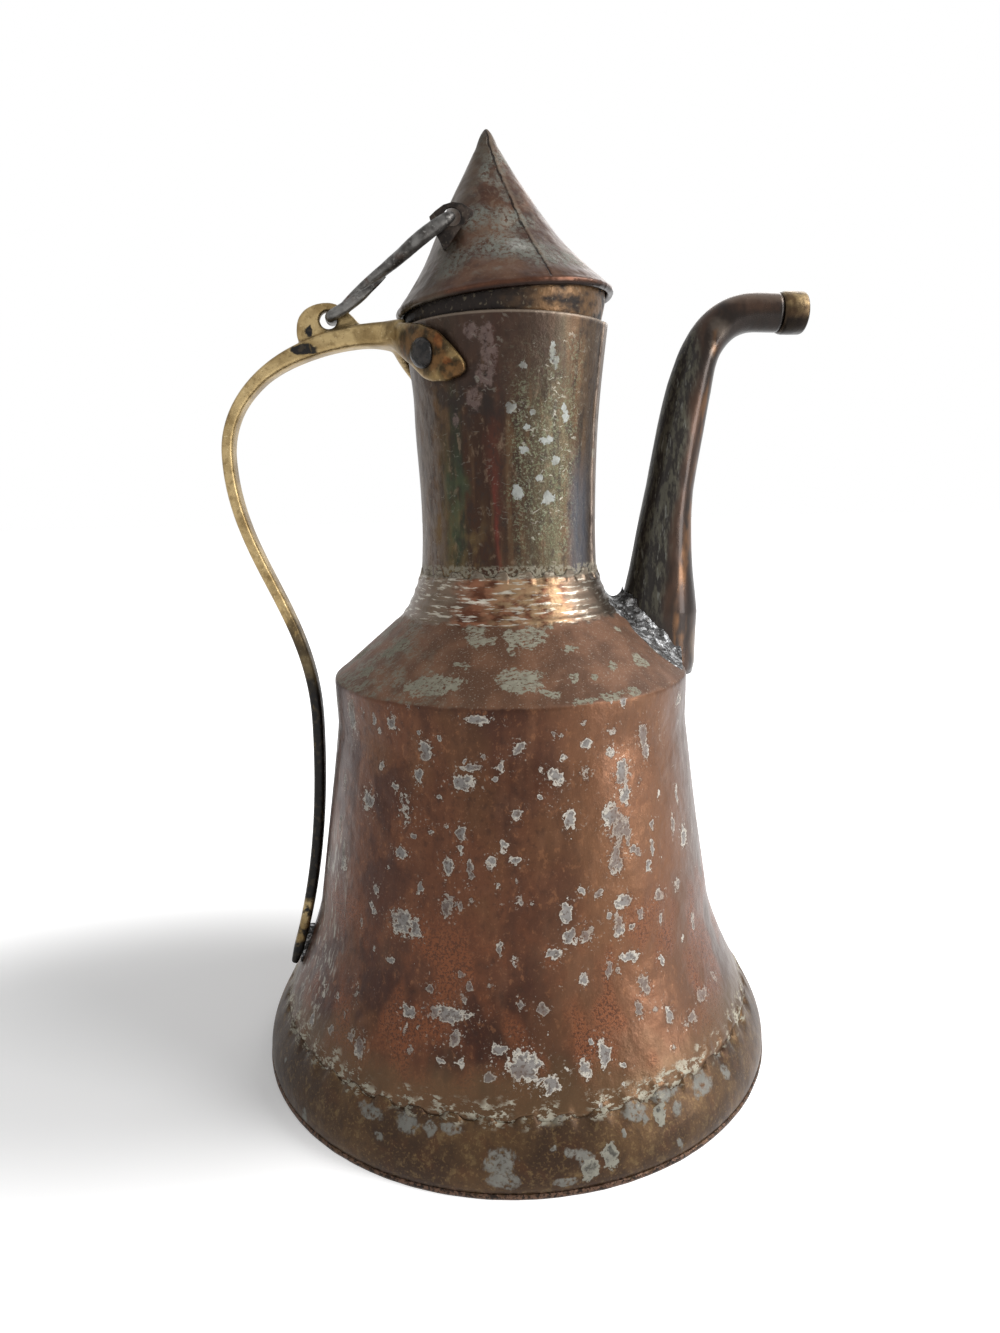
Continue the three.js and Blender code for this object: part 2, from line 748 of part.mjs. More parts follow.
function eyeShape() {
  const corners = [[-7.4, 1.2], [-2.4, 3.7], [0, 4.3], [2.6, 3.4], [6, 0], [6, -8], [-2.5, -9.2], [-4.4, -8.6], [-7, -3]];
  const shape = new THREE.Shape(corners.map(([x, z]) => new THREE.Vector2(x - eyeInset, z + eyeUp)));
  shape.holes.push(new THREE.Path().absarc(-eyeInset, eyeUp, eyeHoleRadius, 0, 2 * halfTurn));
  return shape;
}

function tongue(growth) {
  const bottom = tongueTop - tongueHeight - growth;
  return box([-eyeInset + eyeHoleRadius + eyeRim / 2 - growth, -tongueEnd + growth],
    [eyeNear - growth, eyeFar + growth], [bottom, tongueTop + growth]);
}

function eyeSlot() {
  return tongue(clearance);
}

function lidEye() {
  const tab = plate(eyeShape(), [eyeNear, eyeFar]).subtract(filled(coneOutline, clearance, neckSides));
  const foot = box([-tongueEnd - eyeSheet, -tongueEnd], [eyeNear, eyeNear + tongueBend],
    [tongueTop - tongueHeight, tongueTop]);
  return tab.add(tongue(0)).add(foot);
}

// Where the wire crosses the ear and the eye of the lid, as the lid stands at rest.
const rimHeight = lidSeat();

function linkEnds() {
  const [lean, upright] = [Math.sin(radians(lidTilt)), Math.cos(radians(lidTilt))];
  const hang = eyeHoleRadius - wireRadius - wirePlay;
  const eye = new THREE.Vector2(
    -eyeInset * upright - eyeUp * lean,
    rimHeight - eyeInset * lean + eyeUp * upright - hang,
  );
  const hole = new THREE.Vector2(...earHole);
  const pull = eye.clone().sub(hole).setLength(earHoleRadius - wireRadius - wirePlay);
  return { ear: hole.add(pull), eye };
}

function linkRoute() {
  const { ear: start, eye } = linkEnds();
  const along = eye.clone().sub(start);
  const length = along.length();
  along.normalize();
  const legs = earThickness / 2 + wirePlay + wireRadius;
  const half = eyeSheet / 2 + wirePlay + wireRadius;
  const [front, back] = [-eyeOffset - half, -eyeOffset + half];
  const bend = steps(-halfTurn / 2, halfTurn / 2, 6).map((angle) => [
    length - half * (1 - Math.cos(angle)), 0, half * Math.sin(angle) - eyeOffset,
  ]);
  const route = [
    [lowerHookLength, -1.4, -legs - 3.6],
    [lowerHookLength * 0.55, -1.2, -legs - 1.4],
    [5, -0.7, -legs - 0.2],
    [2.2, -0.2, -legs],
    [0.5, 0, -legs + 0.6],
    [0, 0, -legs + 2],
    [0, 0, legs - 2],
    [0.5, 0.1, legs - 0.6],
    [2.2, 0.3, legs],
    [6, 1, legs - 0.1],
    [12, 1.9, 2.8],
    [18, 2.2, -0.4],
    [24, 1.5, -4.4],
    [30, 0.6, -9.4],
    [length - 15, 0.3, front + 3.6],
    [length - 9.5, 0.1, front + 0.4],
    ...bend,
    [length - 8, -1.2, back + 0.6],
    [length - upperHookLength, -1.9, back + 1.2],
  ];
  return route.map(([u, v, y]) => new THREE.Vector3(
    start.x + along.x * u - along.y * v, y, start.y + along.y * u + along.x * v,
  ));
}

function lidLink() {
  const route = new THREE.CatmullRomCurve3(linkRoute(), false, "centripetal");
  const round = new THREE.Shape().absarc(0, 0, wireRadius, 0, 2 * halfTurn);
  const drawn = { steps: wireSteps, extrudePath: route, curveSegments: wireSides / 2 };
  return solid(new THREE.ExtrudeGeometry(round, drawn));
}

function lid() {
  const whole = new THREE.Group();
  whole.add(piece("lid_cone", lidCone(), darkCopper));
  whole.add(piece("lid_collar", lidCollar(), darkCopper));
  whole.add(piece("lid_eye", lidEye(), darkCopper));
  whole.rotation.y = -radians(lidTilt);
  whole.position.z = rimHeight;
  return whole;
}

const ewer = new THREE.Group();
ewer.add(piece("base_plate", basePlate(), oliveCopper));
ewer.add(piece("foot_band", footBand(), oliveCopper));
ewer.add(piece("body_shell", bodyShell(), copper));
ewer.add(piece("neck_tube", neckTube(), darkCopper));
ewer.add(piece("spout", spout(), darkCopper));
ewer.add(piece("spout_ferrule", spoutFerrule(), brass));
ewer.add(piece("spout_solder", spoutSolder(), greySolder));
ewer.add(piece("handle", handle(), brass));
ewer.add(piece("handle_solder", handleSolder(), greySolder));
ewer.add(piece("neck_rivet_front", neckRivet(1), iron));
ewer.add(piece("neck_rivet_back", neckRivet(-1), iron));
ewer.add(piece("lid_link", lidLink(), iron));
ewer.add(lid());

export default ewer;
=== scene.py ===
# %% [markdown]
# # A copper ewer with a link-hung lid
# The ewer is sheet copper that was rolled, beaten and joined by toothed seams. A cast brass handle is
# riveted to its neck and soldered to its flank, and a hollow conical lid hangs from the handle on a bent
# iron wire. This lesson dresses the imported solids: it builds each piece again as a fine mesh in the same
# place, gives each a worn metal finish, and sets up a plain studio. All sizes are in millimetres until a
# mesh is made.

# %% The frame
import json
import math

import bmesh
import bpy
import numpy as np
from mathutils import Matrix, Quaternion, Vector

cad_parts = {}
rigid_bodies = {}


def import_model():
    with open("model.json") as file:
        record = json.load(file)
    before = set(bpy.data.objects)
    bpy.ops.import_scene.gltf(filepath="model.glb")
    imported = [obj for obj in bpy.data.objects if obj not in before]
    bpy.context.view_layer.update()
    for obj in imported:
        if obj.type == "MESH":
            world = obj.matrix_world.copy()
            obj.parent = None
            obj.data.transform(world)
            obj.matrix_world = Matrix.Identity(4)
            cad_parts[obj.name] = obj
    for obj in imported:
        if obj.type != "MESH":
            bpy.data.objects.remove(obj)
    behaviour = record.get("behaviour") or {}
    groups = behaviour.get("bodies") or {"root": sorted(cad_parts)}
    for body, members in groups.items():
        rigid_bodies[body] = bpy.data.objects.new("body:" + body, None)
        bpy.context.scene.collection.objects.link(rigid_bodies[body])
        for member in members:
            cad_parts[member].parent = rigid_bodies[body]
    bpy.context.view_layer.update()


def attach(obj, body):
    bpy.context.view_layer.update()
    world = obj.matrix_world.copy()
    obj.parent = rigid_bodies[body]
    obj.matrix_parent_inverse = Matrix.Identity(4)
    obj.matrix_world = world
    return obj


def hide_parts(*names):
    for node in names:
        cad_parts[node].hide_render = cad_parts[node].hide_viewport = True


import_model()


# %% [markdown]
# ## The camera
# The photograph looks down about 11 degrees at the ewer from a third of a metre, with a wide lens. The
# camera stands where the ellipses of the mouth, shoulder and foot put it, and the spout leans 7 degrees
# away from it. A shift of the lens, not a turn of the camera, puts the middle of the picture a little to
# the side.

# %% The camera
MM = 0.001
FRAME_W, FRAME_H = 1000, 1333.0
FOCAL_PX, CENTRE_X = 870.3, 510.6
turn, pitch, roll = math.radians(6.64), math.radians(11.32), math.radians(0.98)
distance, height = 312.4, 203.3


def new_object(name, data):
    """An object in the scene that shows a mesh, a curve, a lamp or a lens."""
    made = bpy.data.objects.new(name, data)
    bpy.context.scene.collection.objects.link(made)
    return made


lens = bpy.data.cameras.new("lens")
lens.sensor_fit = "VERTICAL"
lens.sensor_height = 36.0
lens.lens = FOCAL_PX / FRAME_H * lens.sensor_height
lens.shift_x = (FRAME_W / 2 - CENTRE_X) / FRAME_H
lens.clip_start = 0.01
camera = new_object("camera", lens)
forward = Vector((math.sin(turn) * math.cos(pitch), math.cos(turn) * math.cos(pitch), -math.sin(pitch)))
right = forward.cross(Vector((0, 0, 1))).normalized()
up = right.cross(forward)
up.rotate(Quaternion(forward, roll))
right.rotate(Quaternion(forward, roll))
camera.matrix_world = Matrix((right, up, -forward)).transposed().to_4x4()
camera.location = (-distance * math.sin(turn) * MM, -distance * math.cos(turn) * MM, height * MM)
bpy.context.scene.camera = camera
print("lens", round(lens.lens, 2), "mm")

# %% [markdown]
# ## Meshes from rings
# Nearly every piece is a skin over rings: a row of points goes round, and the rows follow one another. A
# wall that is closed on itself runs up the outside and down the inside, so its rows loop. A bar is closed
# by a fan at each end. numpy holds the rows, because it moves all their points at once.


# %% Helpers for rings and pieces
def skin(rows, looped=False):
    """Points and faces over rows of points, each closed round itself. Rows loop, or fans close the ends."""
    rows = np.asarray(rows, float)
    count, around, _ = rows.shape
    points = rows.reshape(-1, 3)
    sides = [(j, (j + 1) % around) for j in range(around)]
    faces = []
    for i in range(count if looped else count - 1):
        here, there = i * around, (i + 1) % count * around
        faces += [(here + j, here + k, there + k, there + j) for j, k in sides]
    if not looped:
        ends = [rows[0].mean(0), rows[-1].mean(0)]
        first, last = len(points), len(points) + 1
        points = np.vstack([points, ends])
        top = (count - 1) * around
        faces += [(k, j, first) for j, k in sides]
        faces += [(top + j, top + k, last) for j, k in sides]
    return points, faces


def mesh_of(name, parts, weld=False):
    """One mesh object from (points, faces) parts in millimetres, with its faces turned outwards."""
    points, faces = [], []
    for part_points, part_faces in parts:
        start = len(points)
        points += [tuple(point * MM) for point in np.asarray(part_points)]
        faces += [tuple(start + i for i in face) for face in part_faces]
    mesh = bpy.data.meshes.new(name)
    mesh.from_pydata(points, [], faces)
    shape = bmesh.new()
    shape.from_mesh(mesh)
    if weld:
        bmesh.ops.remove_doubles(shape, verts=shape.verts, dist=1e-6)
    bmesh.ops.recalc_face_normals(shape, faces=shape.faces)
    shape.to_mesh(mesh)
    shape.free()
    mesh.shade_smooth()
    return new_object(name, mesh)


def dress(piece, nodes, body, finish):
    """Hangs a finished piece on its body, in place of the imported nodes, with its material."""
    piece.data.materials.clear()
    piece.data.materials.append(finish)
    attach(piece, body)
    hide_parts(*nodes)
    print(f"{piece.name}: {len(piece.data.polygons)} faces")


def evaluated_mesh(holder):
    """What an object looks like after its modifiers, as a new mesh."""
    graph = bpy.context.evaluated_depsgraph_get()
    return bpy.data.meshes.new_from_object(holder.evaluated_get(graph))


def refined(piece, modifier, **settings):
    """Applies one modifier to a piece."""
    added = piece.modifiers.new(modifier.lower(), modifier)
    for key, value in settings.items():
        setattr(added, key, value)
    old = piece.data
    piece.data = evaluated_mesh(piece)
    piece.modifiers.remove(added)
    bpy.data.meshes.remove(old)
    piece.data.shade_smooth()


def beating(seed, waves, shortest, most):
    """A smooth uneven field over a round wall, as beating leaves it: the sum of some waves.

    shortest is the length of the shortest wave up the wall, and fewer than most waves fit round it.
    """
    draw = np.random.default_rng(seed)
    turns = draw.integers(1, most, waves)
    rises = draw.uniform(-1, 1, waves) * 2 * math.pi / shortest
    phases = draw.uniform(0, 2 * math.pi, waves)
    strengths = 1 / np.sqrt(turns) / math.sqrt(waves)
    return lambda azimuth, z: sum(
        s * np.sin(n * azimuth + k * z + p) for s, n, k, p in zip(strengths, turns, rises, phases)
    )


# %% [markdown]
# ## A small tool for node trees
# A node tree built in a script is easier to read if a node is one line. The same tool serves Geometry
# Nodes and materials: it takes a node's type, its settings and the values or links of its sockets.
# Sockets come back wrapped in a small class, so sums on them add Math nodes.



# %% Node trees as Python expressions
class Wire:
    """A socket, on which + - * / add Math nodes."""

    def __init__(self, tree, socket):
        self.tree, self.socket = tree, socket

    def _math(self, operation, first, second):
        return self.tree.node("ShaderNodeMath", {"operation": operation}, first, second)

    def __add__(self, other):
        return self._math("ADD", self, other)

    def __sub__(self, other):
        return self._math("SUBTRACT", self, other)

    def __rsub__(self, other):
        return self._math("SUBTRACT", other, self)

    def __mul__(self, other):
        return self._math("MULTIPLY", self, other)

    def __truediv__(self, other):
        return self._math("DIVIDE", self, other)

    def greatest(self, other):
        return self._math("MAXIMUM", self, other)

    def least(self, other):
        return self._math("MINIMUM", self, other)

    __radd__, __rmul__ = __add__, __mul__


class Tree:
    """A node tree that is written as calls."""

    def __init__(self, nodes):
        self.tree = nodes

    def node(self, kind, settings=None, *inputs, output=0, **named):
        """Adds a node: its type, its settings, and the values or links of its sockets."""
        added = self.tree.nodes.new(kind)
        settings = dict(settings or {})
        stops = settings.pop("stops", None)
        for key, value in settings.items():
            setattr(added, key, value)
        if stops:
            self.fill_stops(added, stops)
        for key, value in [*enumerate(inputs), *named.items()]:
            socket = self.find(added, key)
            if isinstance(value, Wire):
                self.tree.links.new(value.socket, socket)
            else:
                socket.default_value = value
        return Wire(self, added.outputs[output]) if added.outputs else added

    def find(self, added, key):
        """An input by its place, its identifier or its name."""
        if isinstance(key, int):
            return added.inputs[key]
        by_identifier = {socket.identifier: socket for socket in added.inputs}
        return by_identifier.get(key) or added.inputs[key.replace("_", " ")]

    def fill_stops(self, added, stops):
        """Sets the stops of a colour ramp, or the points of a float curve."""
        if hasattr(added, "color_ramp"):
            ramp = added.color_ramp
            while len(ramp.elements) < len(stops):
                ramp.elements.new(1.0)
            for element, (place, colour) in zip(ramp.elements, stops):
                element.position, element.color = place, colour
            return
        points = added.mapping.curves[0].points
        while len(points) < len(stops):
            points.new(0.5, 0.5)
        for point, place in zip(points, stops):
            point.location = place

    def source(self, wire, output):
        """Another output of the node that a wire comes from."""
        return Wire(self, wire.socket.node.outputs[output])


# %% [markdown]
# ## The outlines
# The ewer was measured as a radius at each height. The bell is straight from its waist to its hip and
# flares below, the shoulder is a cone, and two easy curves carry on up the collar and the neck. Beads
# stand round the collar, where the smith turned it.

# %% The outlines
FOOT_SEAM, HIP, WAIST, SHOULDER = 21.0, 57.0, 124.0, 140.8
COLLAR_FOOT, NECK_FOOT, MOUTH = 159.6, 177.0, 257.3
FOOT_R, HIP_R, WAIST_R = 86.7, 72.6, 62.9
COLLAR_R, NECK_R, MOUTH_R = 40.0, 31.2, 34.5
HEM_R, SHEET = 94.1, 1.3


def bell_radius(z):
    """The bell's radius at a height. Above its waist it widens by a third of a millimetre."""
    slope = (HIP_R - WAIST_R) / (WAIST - HIP)
    flare = FOOT_R - WAIST_R - slope * (WAIST - FOOT_SEAM)
    below = WAIST_R + slope * (WAIST - z) + flare * np.clip((HIP - z) / (HIP - FOOT_SEAM), 0, None) ** 1.5
    return np.where(z > WAIST, WAIST_R + 0.3 * (z - WAIST) / (SHOULDER - WAIST), below)


def bend(start, middle, end, count):
    """Points of a quadratic curve."""
    t = np.linspace(0, 1, count)[:, None]
    return (1 - t) ** 2 * np.array(start) + 2 * t * (1 - t) * np.array(middle) + t ** 2 * np.array(end)


collar_curve = bend((COLLAR_R, COLLAR_FOOT), (34.8, 163.95), (NECK_R, NECK_FOOT), 46)
neck_curve = bend((NECK_R, NECK_FOOT), (29.2, 205.1), (MOUTH_R, MOUTH), 60)


def beads(z):
    """The turned beads round the collar."""
    return sum(0.34 * np.exp(-((z - at) / 0.8) ** 2) for at in (162.6, 166.3, 170.0, 173.9))


def headings(line):
    """The direction of a line at each of its points."""
    run = np.gradient(np.asarray(line, float), axis=0)
    return run / np.linalg.norm(run, axis=1)[:, None]


def bevelled_loop(outer, thickness, skip=1):
    """The closed outline of a wall: up the outside, over a rounded edge, down the inside in longer steps."""
    outer = np.asarray(outer, float)
    run = headings(outer)
    square = np.stack([run[:, 1], -run[:, 0]], 1)
    inner = outer - square * thickness
    inner[0, 1], inner[-1, 1] = outer[0, 1], outer[-1, 1]
    low = (outer[0] + inner[0]) / 2 - run[0] * 0.25 * thickness
    high = (outer[-1] + inner[-1]) / 2 + run[-1] * 0.25 * thickness
    return np.vstack([outer, high, inner[:0:-skip], inner[0], low])


def round_wall(loop, around, shape=None):
    """Rows round the axis for a closed outline. shape(azimuth, radius, z) moves the points."""
    azimuth = np.arange(around) * 2 * math.pi / around
    a, r = np.meshgrid(azimuth, loop[:, 0])
    z = np.meshgrid(azimuth, loop[:, 1])[1]
    if shape:
        r, z = shape(a, r, z)
    return np.stack([r * np.cos(a), r * np.sin(a), z], 2)


print("mouth", MOUTH, "mm up, shoulder", SHOULDER)

# %% [markdown]
# ## Toothed seams
# The edges of two sheets were cut into tabs, laid between each other and hammered flat. Both meshes
# follow one wavy line, so their tabs interlock: near the line each row of the wall bends until the last
# one lies on it. The line is a sine pushed towards a square wave, and it wanders a little, as a hand-cut
# one does.


# %% The seam lines
LEVEL = 1e6


def teeth(count, depth, seed):
    """The line of a seam: how far its edge lies above or below its middle height at an azimuth."""
    wander = beating(seed, 14, LEVEL, 24)

    def line(azimuth):
        wave = np.tanh(2.6 * np.sin(count * azimuth + 1.6 * wander(azimuth, 0)))
        return depth * (wave * (1 + 0.35 * wander(azimuth + 1, 0)) + 0.9 * wander(2 * azimuth, 0))

    return line


foot_teeth = teeth(48, 1.0, 4)
neck_teeth = teeth(24, 1.0, 9)


def toward(z, edge, reach):
    """How much a row follows a seam: 1 at the edge, 0 a reach away from it."""
    return np.clip(1 - np.abs(z - edge) / reach, 0, 1)


SEAM_REACH, SEAM_GAP = 4, 0.1
print("teeth of the foot seam lie within", round(float(np.ptp(foot_teeth(np.arange(0, 6.3, 0.01)))), 1), "mm")

# %% [markdown]
# ## The foot
# The base plate is a disc whose edge is turned up round the foot band. The band flares and bulges
# slightly. Years of standing on stone have nicked the edge, so the hem wanders in and out by a fraction
# of a millimetre.

# %% The base plate and the foot band
hem_wear = beating(21, 30, 40, 90)
beaten = beating(3, 26, 60, 9)


def hem_shape(a, r, z):
    """Wear on the outer edge only, and always inwards on the whole."""
    worn = np.clip(r - 88, 0, 1) * (0.28 * hem_wear(a, z) - 0.18)
    return r + worn, z


plate_loop = np.array([
    (0.5, 0.0), (60, 0.0), (91, 0.0), (93.2, 0.1), (93.9, 0.5), (HEM_R, 1.2), (93.9, 2.0), (93.4, 2.2),
    (92.95, 2.0), (92.9, 1.5), (91, SHEET), (60, SHEET), (0.5, SHEET),
])
base = mesh_of("base_hem", [skin(round_wall(plate_loop, 480, hem_shape), looped=True)])


def band_shape(a, r, z):
    bumps = 0.16 * beaten(a, z) + 0.1 * hem_wear(a, z) * toward(z, 2, 6)
    return r + bumps - 0.1, z + (foot_teeth(a) - SEAM_GAP) * toward(z, FOOT_SEAM, SEAM_REACH)


band_outer = np.vstack([
    [(92.9, 1.9), (93.5, 2.3)], bend((93.75, 3.5), (HEM_R, 10.5), (FOOT_R, FOOT_SEAM), 26),
])
band_rows = round_wall(bevelled_loop(band_outer, SHEET), 768, band_shape)
foot_band = mesh_of("foot_skirt", [skin(band_rows, looped=True)])
print("foot:", len(base.data.polygons) + len(foot_band.data.polygons), "faces")

# %% [markdown]
# ## The body
# The bell, the shoulder and the collar were raised from one sheet, so they are one wall. It is finely
# divided at the collar, for the beads, and at both seams. The long waves and a few dents come from a
# field over azimuth and height, which keeps the wall's thickness because both faces move together.


# %% The body
def between(a, azimuth):
    """The angle from an azimuth to another, the short way round."""
    return np.angle(np.exp(1j * (a - azimuth)))


def dent(a, z, azimuth, at, wide, tall, deep):
    """A dent in a round wall, centred on an azimuth in degrees and a height."""
    off = between(a, math.radians(azimuth)) * DENTED_R
    return -deep * np.exp(-((off / wide) ** 2) - ((z - at) / tall) ** 2)


DENTED_R = 66
# azimuth, height, half width, half height and depth of each dent
DENTS = ((-63, 128, 9, 7, 0.9), (-80, 118, 6, 12, 0.5), (-120, 96, 14, 18, 0.5), (-72, 139, 9, 2.5, 0.5))


def body_shape(a, r, z):
    """Dents and beating on the bell, quieter above the shoulder, and the tabs of both seams."""
    quiet = np.clip((SHOULDER + 22 - z) / 20, 0.15, 1)
    bumps = 0.3 * beaten(a + 2, z) * quiet + beads(z) * (1 + 0.2 * beaten(2 * a, 0))
    for where in DENTS:
        bumps = bumps + dent(a, z, *where)
    foot_tabs = (foot_teeth(a) + SEAM_GAP) * toward(z, FOOT_SEAM, SEAM_REACH)
    neck_tabs = (neck_teeth(a) - SEAM_GAP) * toward(z, NECK_FOOT, SEAM_REACH)
    return r + bumps - 0.2 * quiet, z + foot_tabs + neck_tabs


low = np.linspace(FOOT_SEAM, 30, 10)
bell = np.concatenate([low, np.linspace(32.5, SHOULDER - 1.6, 38)])
body_outer = np.vstack([
    np.stack([bell_radius(bell), bell], 1),
    [(63.1, SHOULDER - 0.9), (62.9, SHOULDER - 0.3), (62.3, SHOULDER + 0.3), (61.2, SHOULDER + 1.1)],
    np.linspace((59.5, SHOULDER + 2.4), (41.5, COLLAR_FOOT - 1.1), 9),
    collar_curve,
])
body_rows = round_wall(bevelled_loop(body_outer, SHEET, 3), 672, body_shape)
body = mesh_of("body_bell", [skin(body_rows, looped=True)])
print("body:", len(body.data.polygons), "faces")

# %% [markdown]
# ## The neck
# The neck was rolled from a strip, so one edge laps over the other in a vertical line at its right. The
# lap stands half a sheet proud and its edge wanders.


# %% The neck
neck_wave = beating(12, 20, 50, 6)
NECK_SEAM = math.radians(-21)


def neck_shape(a, r, z):
    """The lap beside its seam, the pinch under the handle's arm, the tabs below and an uneven mouth."""
    degrees = np.degrees(between(a, NECK_SEAM))
    edge = -7 + 1.0 * neck_wave(0, z) + 0.5 * np.sin(z / 3.1)
    lap = 0.5 / (1 + np.exp(-(degrees - edge) / 0.25)) / (1 + np.exp((degrees - 7) / 2.5))
    bumps = 0.22 * neck_wave(a, z) - 0.3 + lap
    pinch = -0.5 * np.exp(-((z - 236) / 9) ** 2) * np.exp(-((np.cos(a) + 1) / 0.05))
    tabs = (neck_teeth(a) + SEAM_GAP) * toward(z, NECK_FOOT, SEAM_REACH)
    mouth_wave = 0.25 * neck_wave(a + 1, 0) * toward(z, MOUTH, 5)
    return r + bumps + pinch, z + tabs + mouth_wave


neck_heights = np.concatenate([np.linspace(NECK_FOOT, 183, 12), np.linspace(184.5, MOUTH, 50)])
neck_outer = np.stack([np.interp(neck_heights, neck_curve[:, 1], neck_curve[:, 0]), neck_heights], 1)
neck_rows = round_wall(bevelled_loop(neck_outer, SHEET, 3), 720, neck_shape)
neck = mesh_of("neck_roll", [skin(neck_rows, looped=True)])
print("neck:", len(neck.data.polygons), "faces")

# %% [markdown]
# ## The spout
# The spout is a tapered tube: long and narrow in section at its root, round higher up, with an elbow at
# the top. Its rings follow one centre line. Each ring is tilted square to the line, and a few waves along
# the tube stand for the marks of the forming hammer.


# %% The spout's line and sections
def bezier(a, b, c, d, count):
    """Points of a cubic curve."""
    t = np.linspace(0, 1, count)[:, None]
    a, b, c, d = (np.array(point, float) for point in (a, b, c, d))
    return (1 - t) ** 3 * a + 3 * t * (1 - t) ** 2 * b + 3 * t ** 2 * (1 - t) * c + t ** 3 * d


SPOUT_X, TIP_Z = 54.8, 263.4
SPIGOT_R, BORE_R = 5.7, 4.5
riser = bezier((SPOUT_X, 140.8), (SPOUT_X, 179.3), (58.4, 212.6), (66.8, 244.8), 90)
elbow = bezier((66.8, 244.8), (69.5, 255.4), (76.2, TIP_Z), (88.8, TIP_Z), 40)
nozzle = np.linspace((89.6, TIP_Z), (96.1, TIP_Z), 8)
spout_line = np.vstack([[(SPOUT_X, 136.8), (SPOUT_X, 139)], riser, elbow[1:], nozzle])
# half the length and half the width of the tube's section at known heights
heights_known = (130, 137, 141, 160, 167, 174.6, 182, 189, 196, 203.5, 224, 231, 238, 245, 252, 300)
halves_known = (11.0, 13.4, 14.2, 14.1, 13.0, 11.7, 10.7, 9.9, 9.1, 8.5, 8.2, 7.95, 7.7, 7.1, 6.6, 6.35)
widths_known = (9.0, 10.6, 11.3, 11.2, 10.6, 9.9, 9.5, 9.1, 8.7, 8.4, 8.15, 7.9, 7.6, 7.0, 6.5, 6.35)


def swept(line, half_length, half_width, around=64, wave=None):
    """Rings square to a line of (x, z) points in the plane of handle and spout."""
    angle = np.arange(around) * 2 * math.pi / around
    rings = []
    for i, ((x, z), (dx, dz)) in enumerate(zip(line, headings(line))):
        grow = 1 + (wave(angle, i) if wave else 0)
        along = half_length[i] * grow * np.cos(angle)
        beside = half_width[i] * grow * np.sin(angle)
        rings.append(np.stack([x + dz * along, beside, z - dx * along], 1))
    return rings


spout_wave = beating(31, 18, 60, 5)
half_length = np.interp(spout_line[:, 1], heights_known, halves_known)
half_width = np.interp(spout_line[:, 1], heights_known, widths_known)
outer = swept(spout_line, half_length, half_width, wave=lambda a, i: 0.022 * spout_wave(a, i * 2.0))
inner = swept(spout_line, half_length - SHEET, half_width - SHEET)
spigot_line = np.array([(96.2, TIP_Z), (100.5, TIP_Z)])
spigot = swept(spigot_line, [SPIGOT_R] * 2, [SPIGOT_R] * 2)
bore = swept(spigot_line[::-1], [BORE_R] * 2, [BORE_R] * 2)
spout = mesh_of("spout_tube", [skin(outer + spigot + bore + inner[::-1], looped=True)])
print("spout:", len(spout.data.polygons), "faces")

# %% [markdown]
# The ferrule is a short brass ring on the end of the spout, with a groove behind it. Its rings run along
# +X.

# %% The ferrule
ferrule_loop = np.array([
    (6.5, 96.5), (6.75, 96.9), (6.8, 97.3), (7.0, 97.6), (7.1, 98.3), (7.12, 101), (7.05, 104.6),
    (6.8, 105.2),
    (6.3, 105.5), (5.2, 105.5), (4.6, 105.2), (4.5, 104.6), (4.5, 101.3), (6.0, 101.2), (6.0, 96.6),
])
ring_angle = np.arange(72) * 2 * math.pi / 72
ferrule_wave = beating(8, 8, 30, 5)
ferrule_rows = []
for r, x in ferrule_loop:
    worn = r + 0.06 * ferrule_wave(ring_angle, x)
    ring = [np.full(72, x), worn * np.sin(ring_angle), TIP_Z + worn * np.cos(ring_angle)]
    ferrule_rows.append(np.stack(ring, 1))
ferrule = mesh_of("spout_ring", [skin(ferrule_rows, looped=True)])

# %% [markdown]
# ## Solder round the spout
# Grey solder was run round the root of the spout and left as it set: a lumpy fillet that climbs the spout
# and thins out over the shoulder. A ring of sections follows the root. Each section is a soft triangle
# whose corners lie on the spout and on the shoulder, and three noises make its lumps and its ragged edge.


# %% The solder at the spout
def shoulder_height(x, y):
    """The height of the shoulder's cone, or of the collar's curve inside it, at a place seen from above."""
    r = np.hypot(x, y)
    cone = SHOULDER + (62.6 - r) * (COLLAR_FOOT - SHOULDER) / 22.6
    curl = np.interp(r, collar_curve[::-1, 0], collar_curve[::-1, 1])
    return np.where(r > COLLAR_R, cone, curl)


ROOT_LONG, ROOT_WIDE, SHOULDER_EDGE = 14.0, 11.0, 61.8
lumps, fine_lumps = beating(41, 24, LEVEL, 16), beating(43, 40, 3, 60)
solder_rows = []
for phi in np.arange(0, 2 * math.pi, 2 * math.pi / 220):
    out = np.array([math.cos(phi), math.sin(phi)])
    inward = 0.5 - 0.5 * math.cos(phi)
    near = max(0.0, -math.sin(phi))
    climb = (3.0 + 4.6 * inward + 3.0 * near) * (1 + 0.45 * lumps(phi, 0))
    spread = (3.2 + 4.6 * inward + 2.2 * abs(math.sin(phi)) + 4.6 * near) * (1 + 0.7 * lumps(phi + 2, 0))
    root = np.array([ROOT_LONG, ROOT_WIDE]) * out
    section = []
    for share in np.linspace(0, 1, 15):
        reach = spread * share ** 1.3
        x, y = np.array([SPOUT_X, 0]) + root + out * (reach - 0.6)
        if math.hypot(x, y) > SHOULDER_EDGE:
            x, y = np.array([x, y]) * SHOULDER_EDGE / math.hypot(x, y)
        rise = climb * (1 - share) ** 1.9 * (1 + 0.22 * fine_lumps(phi * 3, share * 4))
        section.append((x, y, float(shoulder_height(x, y)) + rise + 0.25 * (1 - share)))
    below = [(x, y, float(shoulder_height(x, y)) - 0.7) for x, y, _ in section[::-5]]
    solder_rows.append(section + below)
solder = mesh_of("spout_solder_skin", [skin(solder_rows, looped=True)])
print("solder at the spout:", len(solder.data.polygons), "faces")

